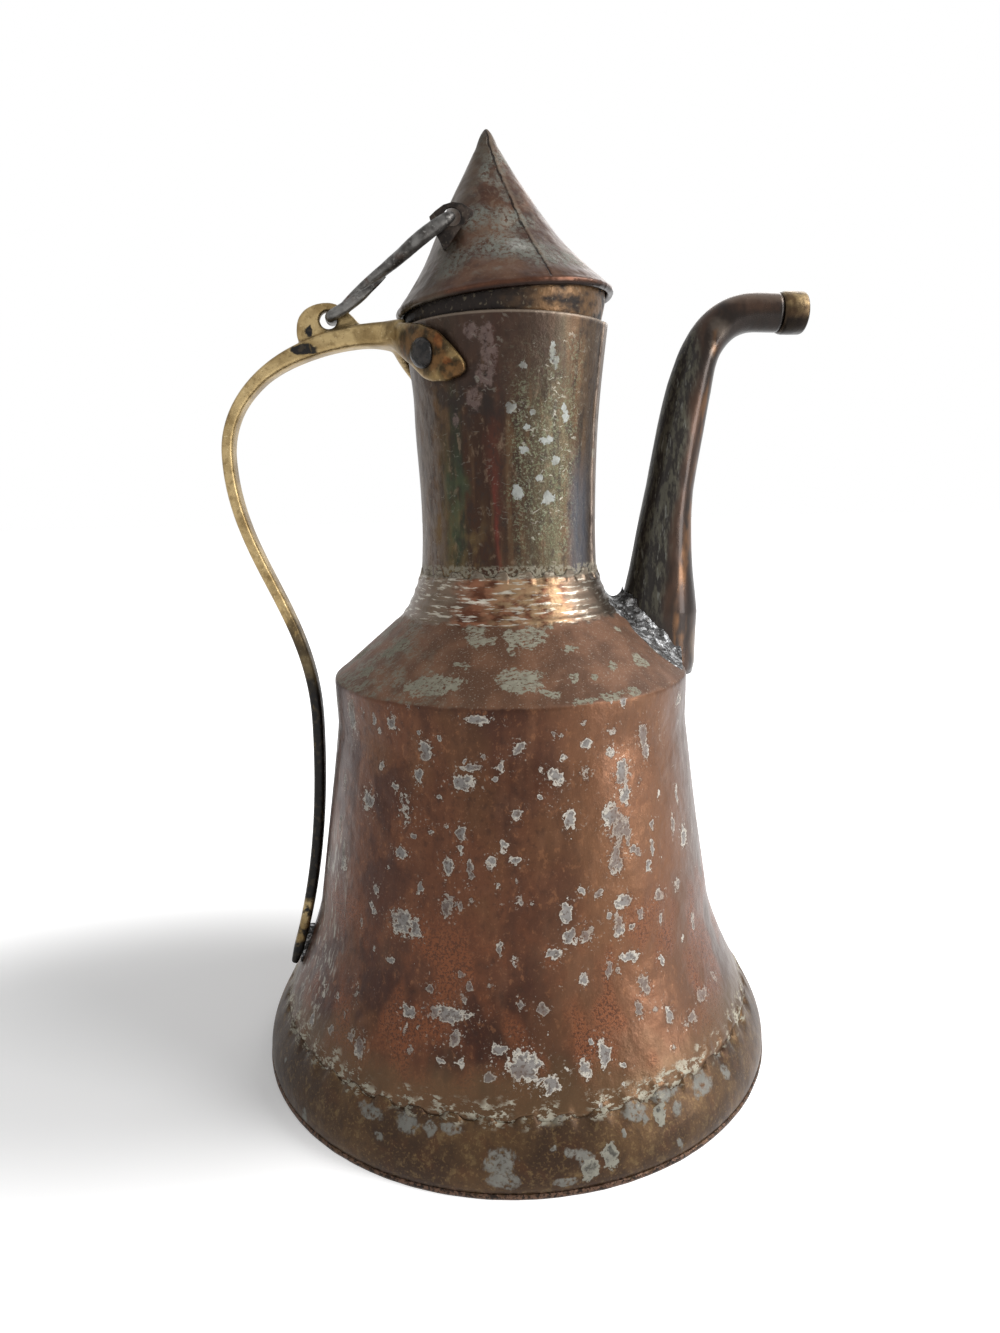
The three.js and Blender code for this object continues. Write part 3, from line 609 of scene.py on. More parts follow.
# %% [markdown]
# ## The handle
# The handle is one brass casting: a bowed strap, an ear with a hole for the link, and a fork of two
# leaves that hold the neck. It is built from overlapping closed bars, and a voxel remesh melts them into
# one skin. Smoothing afterwards rounds the corners as filing did on the real one.


# %% The handle's strap
SQUARENESS = 0.42


def bar(line, thickness, width):
    """A closed bar along a line of (x, z) points. Its section is a rectangle with well rounded corners."""
    angle = np.arange(20) * 2 * math.pi / 20 + math.pi / 20
    u = np.sign(np.cos(angle)) * np.abs(np.cos(angle)) ** SQUARENESS
    v = np.sign(np.sin(angle)) * np.abs(np.sin(angle)) ** SQUARENESS
    rings = []
    for (x, z), (dx, dz), t, w in zip(line, headings(line), thickness, width):
        rings.append(np.stack([x + dz * u * t / 2, v * w / 2, z - dx * u * t / 2], 1))
    return skin(rings)


ARM_X, BOW_Z, STRAP_X, STRAP_FOOT = -40, 216.4, -70.1, 31
quarter = np.linspace(math.pi / 2, math.pi, 60)
bow = np.stack([ARM_X + 54.1 * np.cos(quarter), BOW_Z + 40.2 * np.sin(quarter)], 1)
reverse = bezier((-94.1, BOW_Z), (-94.1, 181.4), (STRAP_X, 164), (STRAP_X, WAIST), 60)
flank_end = -(float(bell_radius(STRAP_FOOT)) + 0.3 + 2.0)
flank = bend((STRAP_X, WAIST), (STRAP_X, 71), (flank_end, STRAP_FOOT), 60)
strap_line = np.vstack([[(-33.5, 256.6), (-37, 256.6)], bow, reverse[1:], flank[1:]])
along = np.concatenate([[0], np.cumsum(np.linalg.norm(np.diff(strap_line, axis=0), axis=1))])
strap_end = along[-1]
# how far from the fork, and the size there
upper = np.interp(along, (0, 10, 18, 32, 64), (5.6, 5.4, 4.8, 4.1, 4.1))
thickness = np.interp(
    along,
    (0, 4, 14, 25, 37, 50, 64, strap_end - 6, strap_end),
    (8.6, 8.4, 7.3, 6.7, 5.9, 4.7, 4.1, 3.9, 2.6),
)
width = np.interp(along, (0, 8, 20, 40, strap_end - 5, strap_end), (12.5, 10.5, 9.3, 9.4, 9.6, 8.2))
flare_out = np.interp(along, (0, 4.5, 6.2, 8.2, 10.2, 12.2), (24, 21.6, 15.4, 12.1, 10.5, 0))
width = np.maximum(width, flare_out)
run = headings(strap_line)
outward = np.stack([run[:, 1], -run[:, 0]], 1)
strap_line = strap_line - outward * np.clip(thickness - upper, 0, None)[:, None] / 2
strap = bar(strap_line, thickness, width)
print("strap:", round(float(strap_end)), "mm long")

# %% [markdown]
# The leaves are drawn as rows from the arm to the tip, each with the middle height, the height and the
# thickness that the photograph shows. The ear is a flat ring grown into the arm, so its hole stays open.

# %% The leaves, the ear and the whole casting
LEAF_TIP = 62.4
# degrees round the neck from the arm, and the height or the thickness there
leaf_top = (
    (0, 10, 25.3, 36.9, 48.4, 56.1, 60.6, LEAF_TIP),
    (258.8, 258.4, 256.9, 255.6, 252.6, 247.8, 244.4, 242.6),
)
leaf_foot = (
    (0, 8, 17.1, 28, 36.2, 42.2, 51.7, 59.5, LEAF_TIP),
    (250.8, 249.4, 246.6, 242.8, 238.9, 237.6, 237.3, 238.6, 240.0),
)
leaf_thick = ((0, 10, 25, 43, 56, LEAF_TIP), (5.0, 4.8, 4.2, 4.0, 3.4, 2.4))


def leaf(side):
    """One leaf of the fork: rows of points from the arm to the tip, seated on the neck."""
    rows = []
    for degrees in np.linspace(-2, LEAF_TIP, 64):
        high, foot, thick = (float(np.interp(degrees, *v)) for v in (leaf_top, leaf_foot, leaf_thick))
        middle, tall = (high + foot) / 2, high - foot
        a = math.pi + side * math.radians(degrees)
        row = []
        for t in np.linspace(0, 2 * math.pi, 32, endpoint=False):
            z = middle + math.copysign(abs(math.sin(t)) ** 0.7, math.sin(t)) * tall / 2
            seat = float(np.interp(z, neck_curve[:, 1], neck_curve[:, 0])) + 0.05
            out = math.copysign(abs(math.cos(t)) ** 0.8, math.cos(t))
            r = seat + thick / 2 * (1 + out)
            row.append((r * math.cos(a), r * math.sin(a), z))
        rows.append(row)
    return skin(rows)


EAR_X, EAR_Z, EAR_HOLE = -58.8, 260.0, 2.85
ear_outline = np.array([
    (-0.7, 5.4), (-3.2, 5.1), (-5.6, 4.3), (-8.0, 2.8), (-9.8, 0.4), (-10.5, -2.5), (-10.4, -6.0),
    (-8.4, -8.6), (-4, -7.4), (0, -6.2), (5, -5.2), (8.6, -4.4), (11.4, -2.8), (10.4, -1.5), (9.0, 0.2),
    (7.2, 2.0), (5.4, 3.6), (3.5, 4.7), (1.4, 5.4),
])


def ear():
    """A plate with a hole: rings of points from the hole to the rim and back on the other side."""
    angles = np.arctan2(ear_outline[:, 1], ear_outline[:, 0])
    order = np.argsort(angles)
    t = np.arange(90) * 2 * math.pi / 90 - math.pi
    rim = np.interp(t, angles[order], np.hypot(*ear_outline[order].T), period=2 * math.pi)
    half = [(0, -2.0), (0.1, -2.4), (0.75, -2.5), (1, -1.7)]
    rings = []
    for share, y in half + [(share, -y) for share, y in half[::-1]]:
        reach = EAR_HOLE + (rim - EAR_HOLE) * share
        rings.append(np.stack([EAR_X + np.cos(t) * reach, np.full(90, y), EAR_Z + np.sin(t) * reach], 1))
    return skin(rings, looped=True)


handle = mesh_of("handle_casting", [strap, leaf(1), leaf(-1), ear()])
refined(handle, "REMESH", mode="VOXEL", voxel_size=0.46 * MM, adaptivity=0)
refined(handle, "SMOOTH", factor=0.5, iterations=20)
print("handle faces", len(handle.data.polygons))

# %% [markdown]
# ## Solder behind the foot of the handle
# A wedge of solder fills the narrow space between the strap and the flare of the body.

# %% The solder at the handle
wedge_rows = []
wedge_wave = beating(51, 12, 8, 8)
WEDGE_FOOT, WEDGE_TOP = 32.0, 43.0
for z in np.linspace(WEDGE_FOOT, WEDGE_TOP, 24):
    strap_x = float(np.interp(z, flank[::-1, 1], flank[::-1, 0])) + 1.9
    wall_x = -float(bell_radius(z)) + 0.3
    half = 4.3 + 0.35 * float(wedge_wave(0.3, z * 3))
    corners = [(strap_x, -half), (strap_x, half), (wall_x, half * 0.96), (wall_x, -half * 0.96)]
    ring = []
    for (x0, y0), (x1, y1) in zip(corners, corners[1:] + corners[:1]):
        ring += [(x0 + (x1 - x0) * t, y0 + (y1 - y0) * t, z) for t in (0.05, 0.35, 0.65, 0.95)]
    wedge_rows.append(ring)
wedge = mesh_of("handle_solder_wedge", [skin(wedge_rows)])
print("solder at the handle:", len(wedge.data.polygons), "faces")

# %% [markdown]
# ## The lid
# The lid is drawn upright about its own axis and then tilted, as it sits askew on the mouth. Its cone was
# cut from one sheet, wrapped round and lapped, so a seam winds down from the tip, its sides are slightly
# flat, and the tip leans towards the handle. The rim is rolled round a flange of the collar.

# %% The lid's frame and cone
LID_TILT, RIM_Z = math.radians(5.4), 265.28
CONE_TALL, CONE_SWAY, TIP_H = 54, 1.9, 54.1
cone_known_h = (0.3, 2.2, 5, 10, 13.7, 17.7, 21.7, 30, 38.8, 41, 47.5, 53.0)
cone_known_r = (36.5, 35.0, 32.4, 28.0, 25.0, 22.2, 19.7, 14.7, 9.3, 8.0, 4.4, 0.9)


def askew(rows):
    """Points of the lid from its own upright frame into the ewer's."""
    rows = np.asarray(rows, float)
    x, y, h = rows[..., 0], rows[..., 1], rows[..., 2]
    lean, upright = math.sin(LID_TILT), math.cos(LID_TILT)
    return np.stack([x * upright - h * lean, y, RIM_Z + x * lean + h * upright], -1)


cone_wave = beating(61, 16, 40, 6)


def seam_azimuth(h):
    """Where the lapped seam of the cone runs."""
    return np.radians(np.interp(h, (0, 6, 13, 22, 36, 45, 54), (-73, -71, -69, -68, -70, -76, -86)))


def cone_shape(a, r, h):
    """The lap and the dent beside the seam, three flat sides, and beating that fades at the tip and rim."""
    degrees = np.degrees(between(a, seam_azimuth(h))) * np.clip(r, 3, 40) / 25
    lap = 0.55 / (1 + np.exp(-np.clip(degrees, -90, None) / 0.35)) * np.exp(-np.clip(degrees, 0, 90) / 14)
    fade = np.clip((r - 1) / 8, 0, 1) * np.clip(h / 4, 0, 1)
    flat = 0.5 * np.cos(3 * a + 0.6) * np.clip(h / 12, 0, 1) * np.clip(r / 12, 0, 1)
    crease = -0.7 * np.exp(-((h - 20.5 - 0.12 * degrees) / 2.2) ** 2) * np.exp(-((degrees + 6) / 9) ** 2)
    rim_wave = 0.25 * cone_wave(a + 1, 0) * (h < 4)
    return r + (0.28 * cone_wave(a, h) + lap + crease + flat) * fade - 0.25, h + rim_wave


cone_h = np.concatenate([np.linspace(0.6, 6, 10), np.linspace(7, 52.6, 60), [53.3, 53.9, TIP_H]])
cone_r = np.interp(cone_h, cone_known_h, cone_known_r)
# the tip is blunt, so near it the outline is a parabola
cone_r = np.maximum(cone_r, 1.6 * np.sqrt(TIP_H - cone_h))
cone_r[-1] = 0.05
hem_points = [
    (34.7, 0.4), (34.5, -0.3), (34.8, -1.3), (35.6, -1.85), (36.4, -1.6), (36.85, -0.9), (36.95, -0.1),
    (36.6, 0.5),
]
cone_outer = np.vstack([hem_points, np.stack([cone_r, cone_h], 1)[1:]])
inside_h = np.concatenate([np.linspace(50.5, 5, 34), [2.6]])
inside_r = np.clip(np.interp(inside_h, cone_known_h, cone_known_r) - 1.15, 0.05, None)
cone_loop = np.vstack([cone_outer, [(0.04, 51)], np.stack([inside_r, inside_h], 1), [(34.6, 1.4)]])
cone_rows = round_wall(cone_loop, 400, cone_shape)
cone_rows[..., 0] -= CONE_SWAY * np.sin(math.pi * np.clip(cone_rows[..., 2], 0, CONE_TALL) / CONE_TALL)
cone = mesh_of("lid_cone_skin", [skin(askew(cone_rows), looped=True)], weld=True)
print("lid cone:", len(cone.data.polygons), "faces")

# %% [markdown]
# The collar hangs from the rolled rim, hollows in and enters the mouth. It is a wall like the neck, drawn
# in the lid's own frame.

# %% The lid's collar
collar_wave = beating(71, 24, 14, 14)
collar_outer = np.array([
    (30.65, -16.0), (31.0, -13.5), (31.45, -11.0), (31.8, -9.5), (32.45, -7.4), (33.15, -5.3), (33.6, -3.6),
    (33.8, -1.9), (34.0, -0.4), (34.1, 0.9),
])
COLLAR_SHEET = 0.9
known = np.arange(len(collar_outer))
fine = np.linspace(0, len(collar_outer) - 1, 40)
collar_fine = np.stack([np.interp(fine, known, column) for column in collar_outer.T], 1)


def collar_shape(a, r, h):
    return r + 0.16 * collar_wave(a, h) - 0.12, h


collar_rows = askew(round_wall(bevelled_loop(collar_fine, COLLAR_SHEET), 360, collar_shape))
lid_collar = mesh_of("lid_collar_ring", [skin(collar_rows, looped=True)])
print("lid collar:", len(lid_collar.data.polygons), "faces")

# %% [markdown]
# The eye is a scrap of sheet pushed through a slot in the cone and bent over inside. It is drawn as a
# flat curve with a hole, which Blender fills, extrudes and bevels, and it is turned upright before it is
# tilted.


# %% The lid's eye
def flat_plate(name, outline, hole, depth, bevel):
    """Mesh points and faces of a plate: an outline and a round hole as a filled, extruded curve."""
    drawing = bpy.data.curves.new(name, "CURVE")
    drawing.dimensions = "2D"
    drawing.fill_mode = "BOTH"
    drawing.extrude = depth / 2 - bevel
    drawing.bevel_depth = bevel
    drawing.bevel_resolution = 1
    (hx, hy), hr = hole
    turns = np.linspace(0, 2 * math.pi, 40, endpoint=False)
    ring = [(hx + hr * math.cos(t), hy + hr * math.sin(t)) for t in turns]
    for loop in (outline, ring):
        spline = drawing.splines.new("POLY")
        spline.points.add(len(loop) - 1)
        for point, (x, y) in zip(spline.points, loop):
            point.co = (x, y, 0, 1)
        spline.use_cyclic_u = True
    holder = new_object(name, drawing)
    mesh = evaluated_mesh(holder)
    points = np.array([vertex.co for vertex in mesh.vertices])
    faces = [tuple(face.vertices) for face in mesh.polygons]
    bpy.data.objects.remove(holder)
    bpy.data.curves.remove(drawing)
    bpy.data.meshes.remove(mesh)
    return points, faces


EYE_X, EYE_Y, EYE_H = -15.73, -16.7, 24.07
EYE_HOLE, EYE_SHEET = 2.95, 1.1
eye_outline = [
    (-6.8, 0.4), (-4.8, 1.9), (-2.2, 3.4), (0.6, 4.0), (3.4, 3.5), (6.9, 1.2), (6.0, -2.2), (3.4, -5.2),
    (1.4, -7.6), (-1.4, -9.7), (-3.7, -9.0), (-4.7, -6.2), (-6.2, -3.2),
]
eye_points, eye_faces = flat_plate("eye", eye_outline, ((0.0, 0.0), EYE_HOLE), EYE_SHEET, 0.25)
level, tall, deep = eye_points.T
eye_points = np.stack([level + EYE_X, EYE_Y + deep + 0.05 * level, tall + EYE_H], 1)
lid_eye = mesh_of("lid_eye_tab", [(askew(eye_points), eye_faces)], weld=True)
print("lid eye:", len(lid_eye.data.polygons), "faces")

# %% [markdown]
# ## How the finishes are made
# Every finish is worked out from the place on the object in millimetres, so nothing slides when the ewer
# is turned. Stains, flecks and scratches are masks between 0 and 1: noise and cells give the random ones,
# and a place that was read off the photograph gives each mark that a viewer would look for. A colour is
# then built up in layers, as a restorer would: a ground, and over it one coat after another, each with
# the mask that says where it shows.


# %% Helpers for finishes
def paint(red, green, blue):
    """A colour as a screen shows it, 0 to 255, as Blender wants it."""
    shares = [value / 255 for value in (red, green, blue)]
    return (*[v / 12.92 if v < 0.04045 else ((v + 0.055) / 1.055) ** 2.4 for v in shares], 1.0)


class Finish(Tree):
    """A material in the making. place is the point on the object in millimetres."""

    def __init__(self, name):
        self.material = bpy.data.materials.new(name)
        self.material.use_nodes = True
        super().__init__(self.material.node_tree)
        self.tree.nodes.clear()
        metres = self.node("ShaderNodeTexCoord", output=3)
        self.place = self.node("ShaderNodeVectorMath", {"operation": "SCALE"}, metres, Scale=1000.0)
        apart = self.node("ShaderNodeSeparateXYZ", None, self.place)
        self.x, self.y, self.z = (self.source(apart, axis) for axis in "XYZ")

    def turn(self):
        """The azimuth in degrees: 0 at the spout, -90 towards the camera, 180 at the handle."""
        return self.angle(self.y, self.x)

    def angle(self, y, x):
        return self.node("ShaderNodeMath", {"operation": "ARCTAN2"}, y, x) * (180 / math.pi)

    def long(self, vector):
        """The length of a vector."""
        return self.node("ShaderNodeVectorMath", {"operation": "LENGTH"}, vector, output=1)

    def mix(self, share, first, second):
        """Two colours mixed. Each is a wire, or three numbers from 0 to 255."""
        first, second = (v if isinstance(v, Wire) else paint(*v) for v in (first, second))
        settings = {"data_type": "RGBA", "clamp_factor": True}
        return self.node(
            "ShaderNodeMix", settings, output=2, Factor_Float=share, A_Color=first, B_Color=second,
        )

    def layers(self, colour, *coats):
        """A colour under coats. Each coat is its mask and its own colour, and the last lies on top."""
        for share, over in coats:
            colour = self.mix(share, colour, over)
        return colour

    def step(self, value, low, high):
        """0 below low, 1 above high, and smooth between them. High may be below low."""
        settings = {"interpolation_type": "SMOOTHSTEP"}
        if low < high:
            return self.node("ShaderNodeMapRange", settings, value, low, high, 0.0, 1.0)
        return self.node("ShaderNodeMapRange", settings, value, high, low, 1.0, 0.0)

    def window(self, value, low, high, soft):
        """1 between low and high, with soft edges."""
        return self.step(value, low - soft, low + soft) * self.step(value, high + soft, high - soft)

    def across(self, where, share, shift):
        """A vector times a vector plus a vector."""
        return self.node("ShaderNodeVectorMath", {"operation": "MULTIPLY_ADD"}, where, share, shift)

    def scaled(self, size, stretch, seed, place):
        """The place in units of size. A stretch above 1 draws a pattern out along that axis."""
        share = tuple(1 / (size * s) for s in stretch)
        return self.across(place or self.place, share, (seed * 7.3, seed * 3.1, seed))

    def noise(self, size, detail=2.0, stretch=(1, 1, 1), seed=0, place=None, rough=0.5):
        """Noise between 0 and 1, with lumps of about a size in millimetres."""
        where = self.scaled(size, stretch, seed, place)
        return self.node(
            "ShaderNodeTexNoise", None, Vector=where, Scale=1.0, Detail=detail, Roughness=rough,
        )

    def patches(self, low, high, *kind, **more):
        """A mask: 0 where a noise is below low, 1 where it is above high."""
        return self.step(self.noise(*kind, **more), low, high)

    def waver(self, far, *kind, **more):
        """A push up or down by a noise, by half of far at most. It makes a straight edge uneven."""
        return (self.noise(*kind, **more) - 0.5) * far

    def shifted(self, size, far, seed=0, place=None):
        """The place pushed about by a noise, which gives a mask ragged edges."""
        push = self.source(self.noise(size, 2.0, seed=seed, place=place), "Color")
        centred = self.node("ShaderNodeVectorMath", {"operation": "SUBTRACT"}, push, (0.5, 0.5, 0.5))
        return self.across(centred, (far, far, far), place or self.place)

    def flecks(self, size, share, seed, place, stretch=(1, 1, 1)):
        """A field over scattered flecks: below 1 inside one. share is how many of the cells hold one."""
        where = self.scaled(size, stretch, seed, place)
        distance = self.node("ShaderNodeTexVoronoi", None, Vector=where, Scale=1.0)
        chance = self.node("ShaderNodeSeparateColor", None, self.source(distance, "Color"))
        reach = self.step(chance, 1 - share, 1.15) * 0.42 + 0.0001
        return distance / reach

    def marks(self, places, where):
        """A field over marks at given places: 0 at the middle of one and 1 at its edge."""
        field = None
        for centre, wide, tall in places:
            share = (1 / wide, 1 / wide, 1 / tall)
            off = self.long(self.across(where, share, tuple(-c * s for c, s in zip(centre, share))))
            field = off if field is None else field.least(off)
        return field

    def torn(self, field, size, much, seed):
        """A field with its level pushed up and down by fine noise, which tears the edge of a mask."""
        return field + self.waver(much, size, 5.0, seed=seed, rough=0.65)

    def done(self, colour, metallic, roughness, relief, coat=0.0):
        """Closes the material: one Principled shader, with the relief in millimetres as a bump."""
        shader = self.node(
            "ShaderNodeBsdfPrincipled", {}, Base_Color=colour, Metallic=metallic, Roughness=roughness,
        )
        sockets = shader.socket.node.inputs
        sockets["Coat Weight"].default_value = coat
        sockets["Specular IOR Level"].default_value = 0.3
        bump = self.node("ShaderNodeBump", None, Strength=1.0, Distance=MM, Height=relief)
        self.tree.links.new(bump.socket, sockets["Normal"])
        self.node("ShaderNodeOutputMaterial", None, shader)
        print(f"{self.material.name}: {len(self.tree.nodes)} nodes")
        return self.material


# %% [markdown]
# The next helper is the ray from the camera. It walks along the ray until the point is inside the outline
# of the ewer, so a mark that was read in the photograph sits there in every view. The size of a mark is
# read in the photograph's pixels too, and its distance turns that into millimetres.

# %% From the photograph to the wall
stations = (
    ([0, 2.2], [94, 94]),
    (band_outer[2:, 1], band_outer[2:, 0]),
    (bell[1:], bell_radius(bell[1:])),
    ([SHOULDER, COLLAR_FOOT], [62.4, COLLAR_R]),
    (collar_curve[1:, 1], collar_curve[1:, 0]),
    (neck_curve[1:, 1], neck_curve[1:, 0]),
)
outline_z, outline_r = (np.concatenate(part) for part in zip(*stations))
eye_point = np.array(camera.location) / MM
axes = np.array(camera.matrix_world.to_3x3()).T
NEAREST, FARTHEST = 180, 420


def seen(px, py):
    """The point of the wall at a place in the photograph, and the millimetres a pixel covers there."""
    ray = axes[0] * (px - CENTRE_X) / FOCAL_PX - axes[1] * (py - FRAME_H / 2) / FOCAL_PX - axes[2]
    depths = np.arange(NEAREST, FARTHEST, 0.1)
    points = eye_point + ray * depths[:, None]
    off_axis = np.hypot(points[:, 0], points[:, 1])
    inside = off_axis < np.interp(points[:, 2], outline_z, outline_r, left=0, right=0)
    first = int(np.argmax(inside)) if inside.any() else int(np.argmin(off_axis))
    return points[first], float(depths[first]) / FOCAL_PX


def placed(marks):
    """Marks in pixels, (across, down, half width, half height), as centres and sizes in millimetres."""
    found = []
    for px, py, wide, tall in marks:
        centre, pixel = seen(px, py)
        found.append((tuple(float(v) for v in centre), max(wide, 2) * pixel, max(tall, 2) * pixel))
    return found


print("middle of the body:", [round(float(v), 1) for v in seen(512, 850)[0]])

# %% [markdown]
# ## The copper of the body
# The bell is reddish brown and satin. Old tinning is left on it as pale grey flecks with lighter rims and
# ragged edges. Low down the copper shows orange through dark speckles. The shoulder is duller and pinker,
# with a chalky crust, and the collar is polished by hands. The flecks and the crust were read off the
# photograph one by one, because a viewer compares them first.

# %% Marks on the body
flecks_left = (
    (300, 1005, 3, 9), (312, 1018, 4, 7), (330, 1030, 6, 4), (352, 1036, 5, 6), (345, 1012, 2, 7),
    (500, 1050, 9, 5), (521, 1068, 7, 4), (490, 1076, 6, 4), (440, 1062, 5, 3), (541, 1080, 6, 3),
    (410, 1050, 3, 7), (374, 719, 3, 6), (392, 723, 6, 9), (352, 716, 7, 17), (420, 734, 3, 3),
    (425, 751, 8, 10), (418, 777, 5, 9), (470, 769, 9, 5), (462, 783, 12, 8), (494, 779, 3, 3),
    (368, 801, 8, 10), (394, 786, 4, 4), (439, 796, 4, 3), (400, 854, 8, 5), (412, 837, 4, 3),
    (428, 830, 4, 3), (444, 827, 4, 2), (461, 834, 6, 7), (446, 867, 6, 9), (461, 853, 3, 9),
    (469, 871, 4, 12), (376, 888, 4, 5), (389, 867, 3, 3), (402, 922, 13, 12), (416, 930, 6, 10),
    (448, 906, 6, 12), (461, 905, 3, 6), (419, 890, 3, 8), (461, 974, 3, 4), (468, 986, 3, 4),
    (391, 961, 5, 3), (432, 987, 3, 4), (408, 1012, 8, 7), (448, 1014, 22, 7), (456, 1039, 5, 11),
    (460, 1062, 4, 5), (360, 1046, 6, 12), (341, 822, 3, 9), (343, 854, 4, 12), (477, 721, 14, 4),
    (431, 989, 4, 4), (345, 780, 3, 8),
)
flecks_right = (
    (519, 748, 6, 6), (554, 736, 3, 5), (562, 735, 4, 3), (587, 744, 5, 5), (611, 750, 5, 6),
    (564, 758, 4, 4), (556, 776, 10, 8), (500, 766, 5, 6), (539, 799, 3, 3), (518, 814, 5, 8),
    (570, 818, 7, 10), (623, 772, 9, 14), (626, 794, 7, 12), (612, 816, 9, 13), (627, 832, 4, 15),
    (633, 850, 4, 5), (617, 858, 8, 14), (643, 735, 6, 12), (646, 752, 6, 9), (677, 794, 3, 11),
    (673, 822, 3, 11), (652, 826, 3, 8), (652, 847, 3, 10), (648, 866, 4, 6), (659, 895, 7, 6),
    (623, 901, 9, 7), (598, 894, 5, 4), (582, 891, 3, 3), (567, 914, 5, 11), (569, 936, 6, 9),
    (587, 934, 9, 9), (618, 925, 6, 13), (632, 926, 4, 4), (641, 915, 4, 4), (609, 917, 3, 6),
    (661, 919, 3, 5), (677, 883, 5, 6), (693, 918, 3, 11), (492, 863, 5, 7), (516, 861, 8, 4),
    (496, 886, 3, 4), (504, 846, 3, 7), (554, 955, 7, 6), (584, 979, 5, 6), (609, 968, 4, 9),
    (630, 956, 9, 5), (645, 986, 7, 10), (662, 961, 4, 6), (514, 963, 2, 6), (499, 949, 3, 8),
    (542, 1011, 5, 6), (525, 1066, 17, 15), (552, 1085, 9, 8), (585, 1070, 6, 10), (592, 1043, 2, 14),
    (605, 1054, 7, 17), (640, 1010, 5, 9), (669, 1014, 5, 11), (692, 1020, 9, 6), (702, 994, 9, 6),
    (678, 700, 7, 5), (640, 780, 3, 6),
)
# The last three patches, along the right edge of the shoulder, are crust and also a painted highlight.
shoulder_crust_and_sheen = (
    (420, 688, 22, 6), (440, 683, 25, 8), (520, 680, 24, 12), (550, 693, 14, 4), (614, 667, 8, 4),
    (575, 678, 7, 3), (595, 676, 5, 4), (480, 642, 14, 4), (528, 642, 17, 5), (476, 637, 11, 4),
    (526, 634, 24, 7), (570, 648, 9, 3), (400, 646, 12, 8), (366, 672, 10, 9), (640, 660, 10, 8),
    (462, 667, 9, 3), (585, 703, 16, 3), (612, 698, 17, 4), (634, 692, 9, 3),
)
print(len(flecks_left) + len(flecks_right), "flecks and", len(shoulder_crust_and_sheen), "patches of crust")

# %% [markdown]
# The ground of the bell is a slow cloud of two browns. Finer noises lay darker and lighter coats over it.
# The side towards the handle is smoky, and painted shade darkens it further. The side towards the lights is
# painted lighter and yellower, and the far right is painted darker as shade.

# %% The ground of the bell
coat = Finish("beaten_copper")
azimuth = coat.turn()
ragged = coat.shifted(1.6, 1.6, seed=2, place=coat.shifted(6.0, 3.4, seed=1))
cloud = coat.noise(34, 4.0, (1, 1, 1.9), seed=3)
drift = coat.noise(11, 4.0, (1, 1, 2.4), seed=4, place=coat.shifted(7, 4, seed=9))
grain = coat.noise(0.9, 2.0, seed=5)
mottle = coat.noise(2.4, 5.0, (1, 1, 1.4), seed=33, rough=0.65)
# The handle side is smoky patina, darkened further as painted shade on the side away from the lights.
smoky_and_shaded = coat.step(azimuth, -112, -140)
smoky_and_shaded = smoky_and_shaded * coat.patches(0.46, 0.56, 13, 5.0, (1, 1, 1.6), seed=34, place=coat.shifted(5, 5, seed=35))
# Painted light: the side towards the lamps is made lighter and yellower.
painted_light_side = coat.step(azimuth + coat.waver(50, 20, 4.0, (1, 1, 2), seed=52), -98, -72)
# Painted shade: the far right of the bell is made darker.
painted_shade_far_right = coat.step(azimuth, -48, -26) * coat.step(azimuth, 60, 20)
bare = coat.window(coat.z, 26, 74, 9) * coat.patches(0.44, 0.58, 17, 3.0, (1, 1, 1.8), seed=7)
speckle = coat.patches(0.47, 0.56, 0.75, 3.0, seed=8, rough=0.7)
bell_colour = coat.layers(
    coat.mix(coat.step(cloud, 0.36, 0.62), (57, 32, 22), (88, 54, 36)),
    (coat.patches(0.5, 0.66, 24, 4.0, (1, 1, 1.5), seed=43) * 0.4, (85, 59, 37)),
    (coat.step(drift, 0.52, 0.7) * 0.55, (50, 31, 24)),
    (coat.patches(0.5, 0.75, 5, 3.0, (1, 1, 7), seed=6) * 0.3, (109, 74, 53)),
    (coat.step(mottle, 0.5, 0.68) * 0.45, (43, 27, 21)),
    (coat.step(mottle, 0.44, 0.3) * 0.4, (139, 94, 64)),
    # The next three coats are painted shade, painted light and painted shade.
    (smoky_and_shaded * 0.75, (51, 29, 23)),
    (painted_light_side * 0.42, (122, 86, 60)),
    (painted_shade_far_right * 0.7, (46, 32, 25)),
    # orange metal low on the bell, seen through dark speckles
    (bare * 0.6, (124, 73, 45)),
    (bare * speckle * 0.7, (55, 34, 25)),
    (coat.step(grain, 0.62, 0.72) * 0.25, (127, 93, 70)),
)
print("ground of the bell:", len(coat.tree.nodes), "nodes")

# %% [markdown]
# The flecks are fields: below 1 inside a fleck. One mask takes the inside, and a narrow band near 1 is
# the pale rim. Scattered flecks from cells go all round, so that the back matches the front.

# %% The flecks
front = coat.marks(placed(flecks_left + flecks_right), ragged)
strewn = coat.flecks(9.5, 0.4, 1, ragged, (1, 1, 1.5)).least(coat.flecks(4.4, 0.3, 2, ragged, (1, 1, 1.4)))
crowd = coat.patches(0.42, 0.6, 26, 2.0, seed=11)
field = coat.torn(front.least(strewn + (1 - crowd) * 0.35), 2.0, 2.8, 31)
fleck = coat.step(field, 1.02, 0.88)
rim = coat.window(field, 0.7, 0.98, 0.09)
worn_through = coat.patches(0.52, 0.6, 1.1, 4.0, seed=12, rough=0.65) * coat.step(field, 0.95, 0.6)
fleck_colour = coat.layers(
    coat.mix(coat.noise(3.2, 3.0, seed=13), (104, 98, 94), (158, 154, 150)),
    (rim * 0.9, (200, 194, 182)),
    (worn_through * 0.7, (84, 68, 58)),
)
shadowed = coat.window(field, 1.02, 1.2, 0.08)
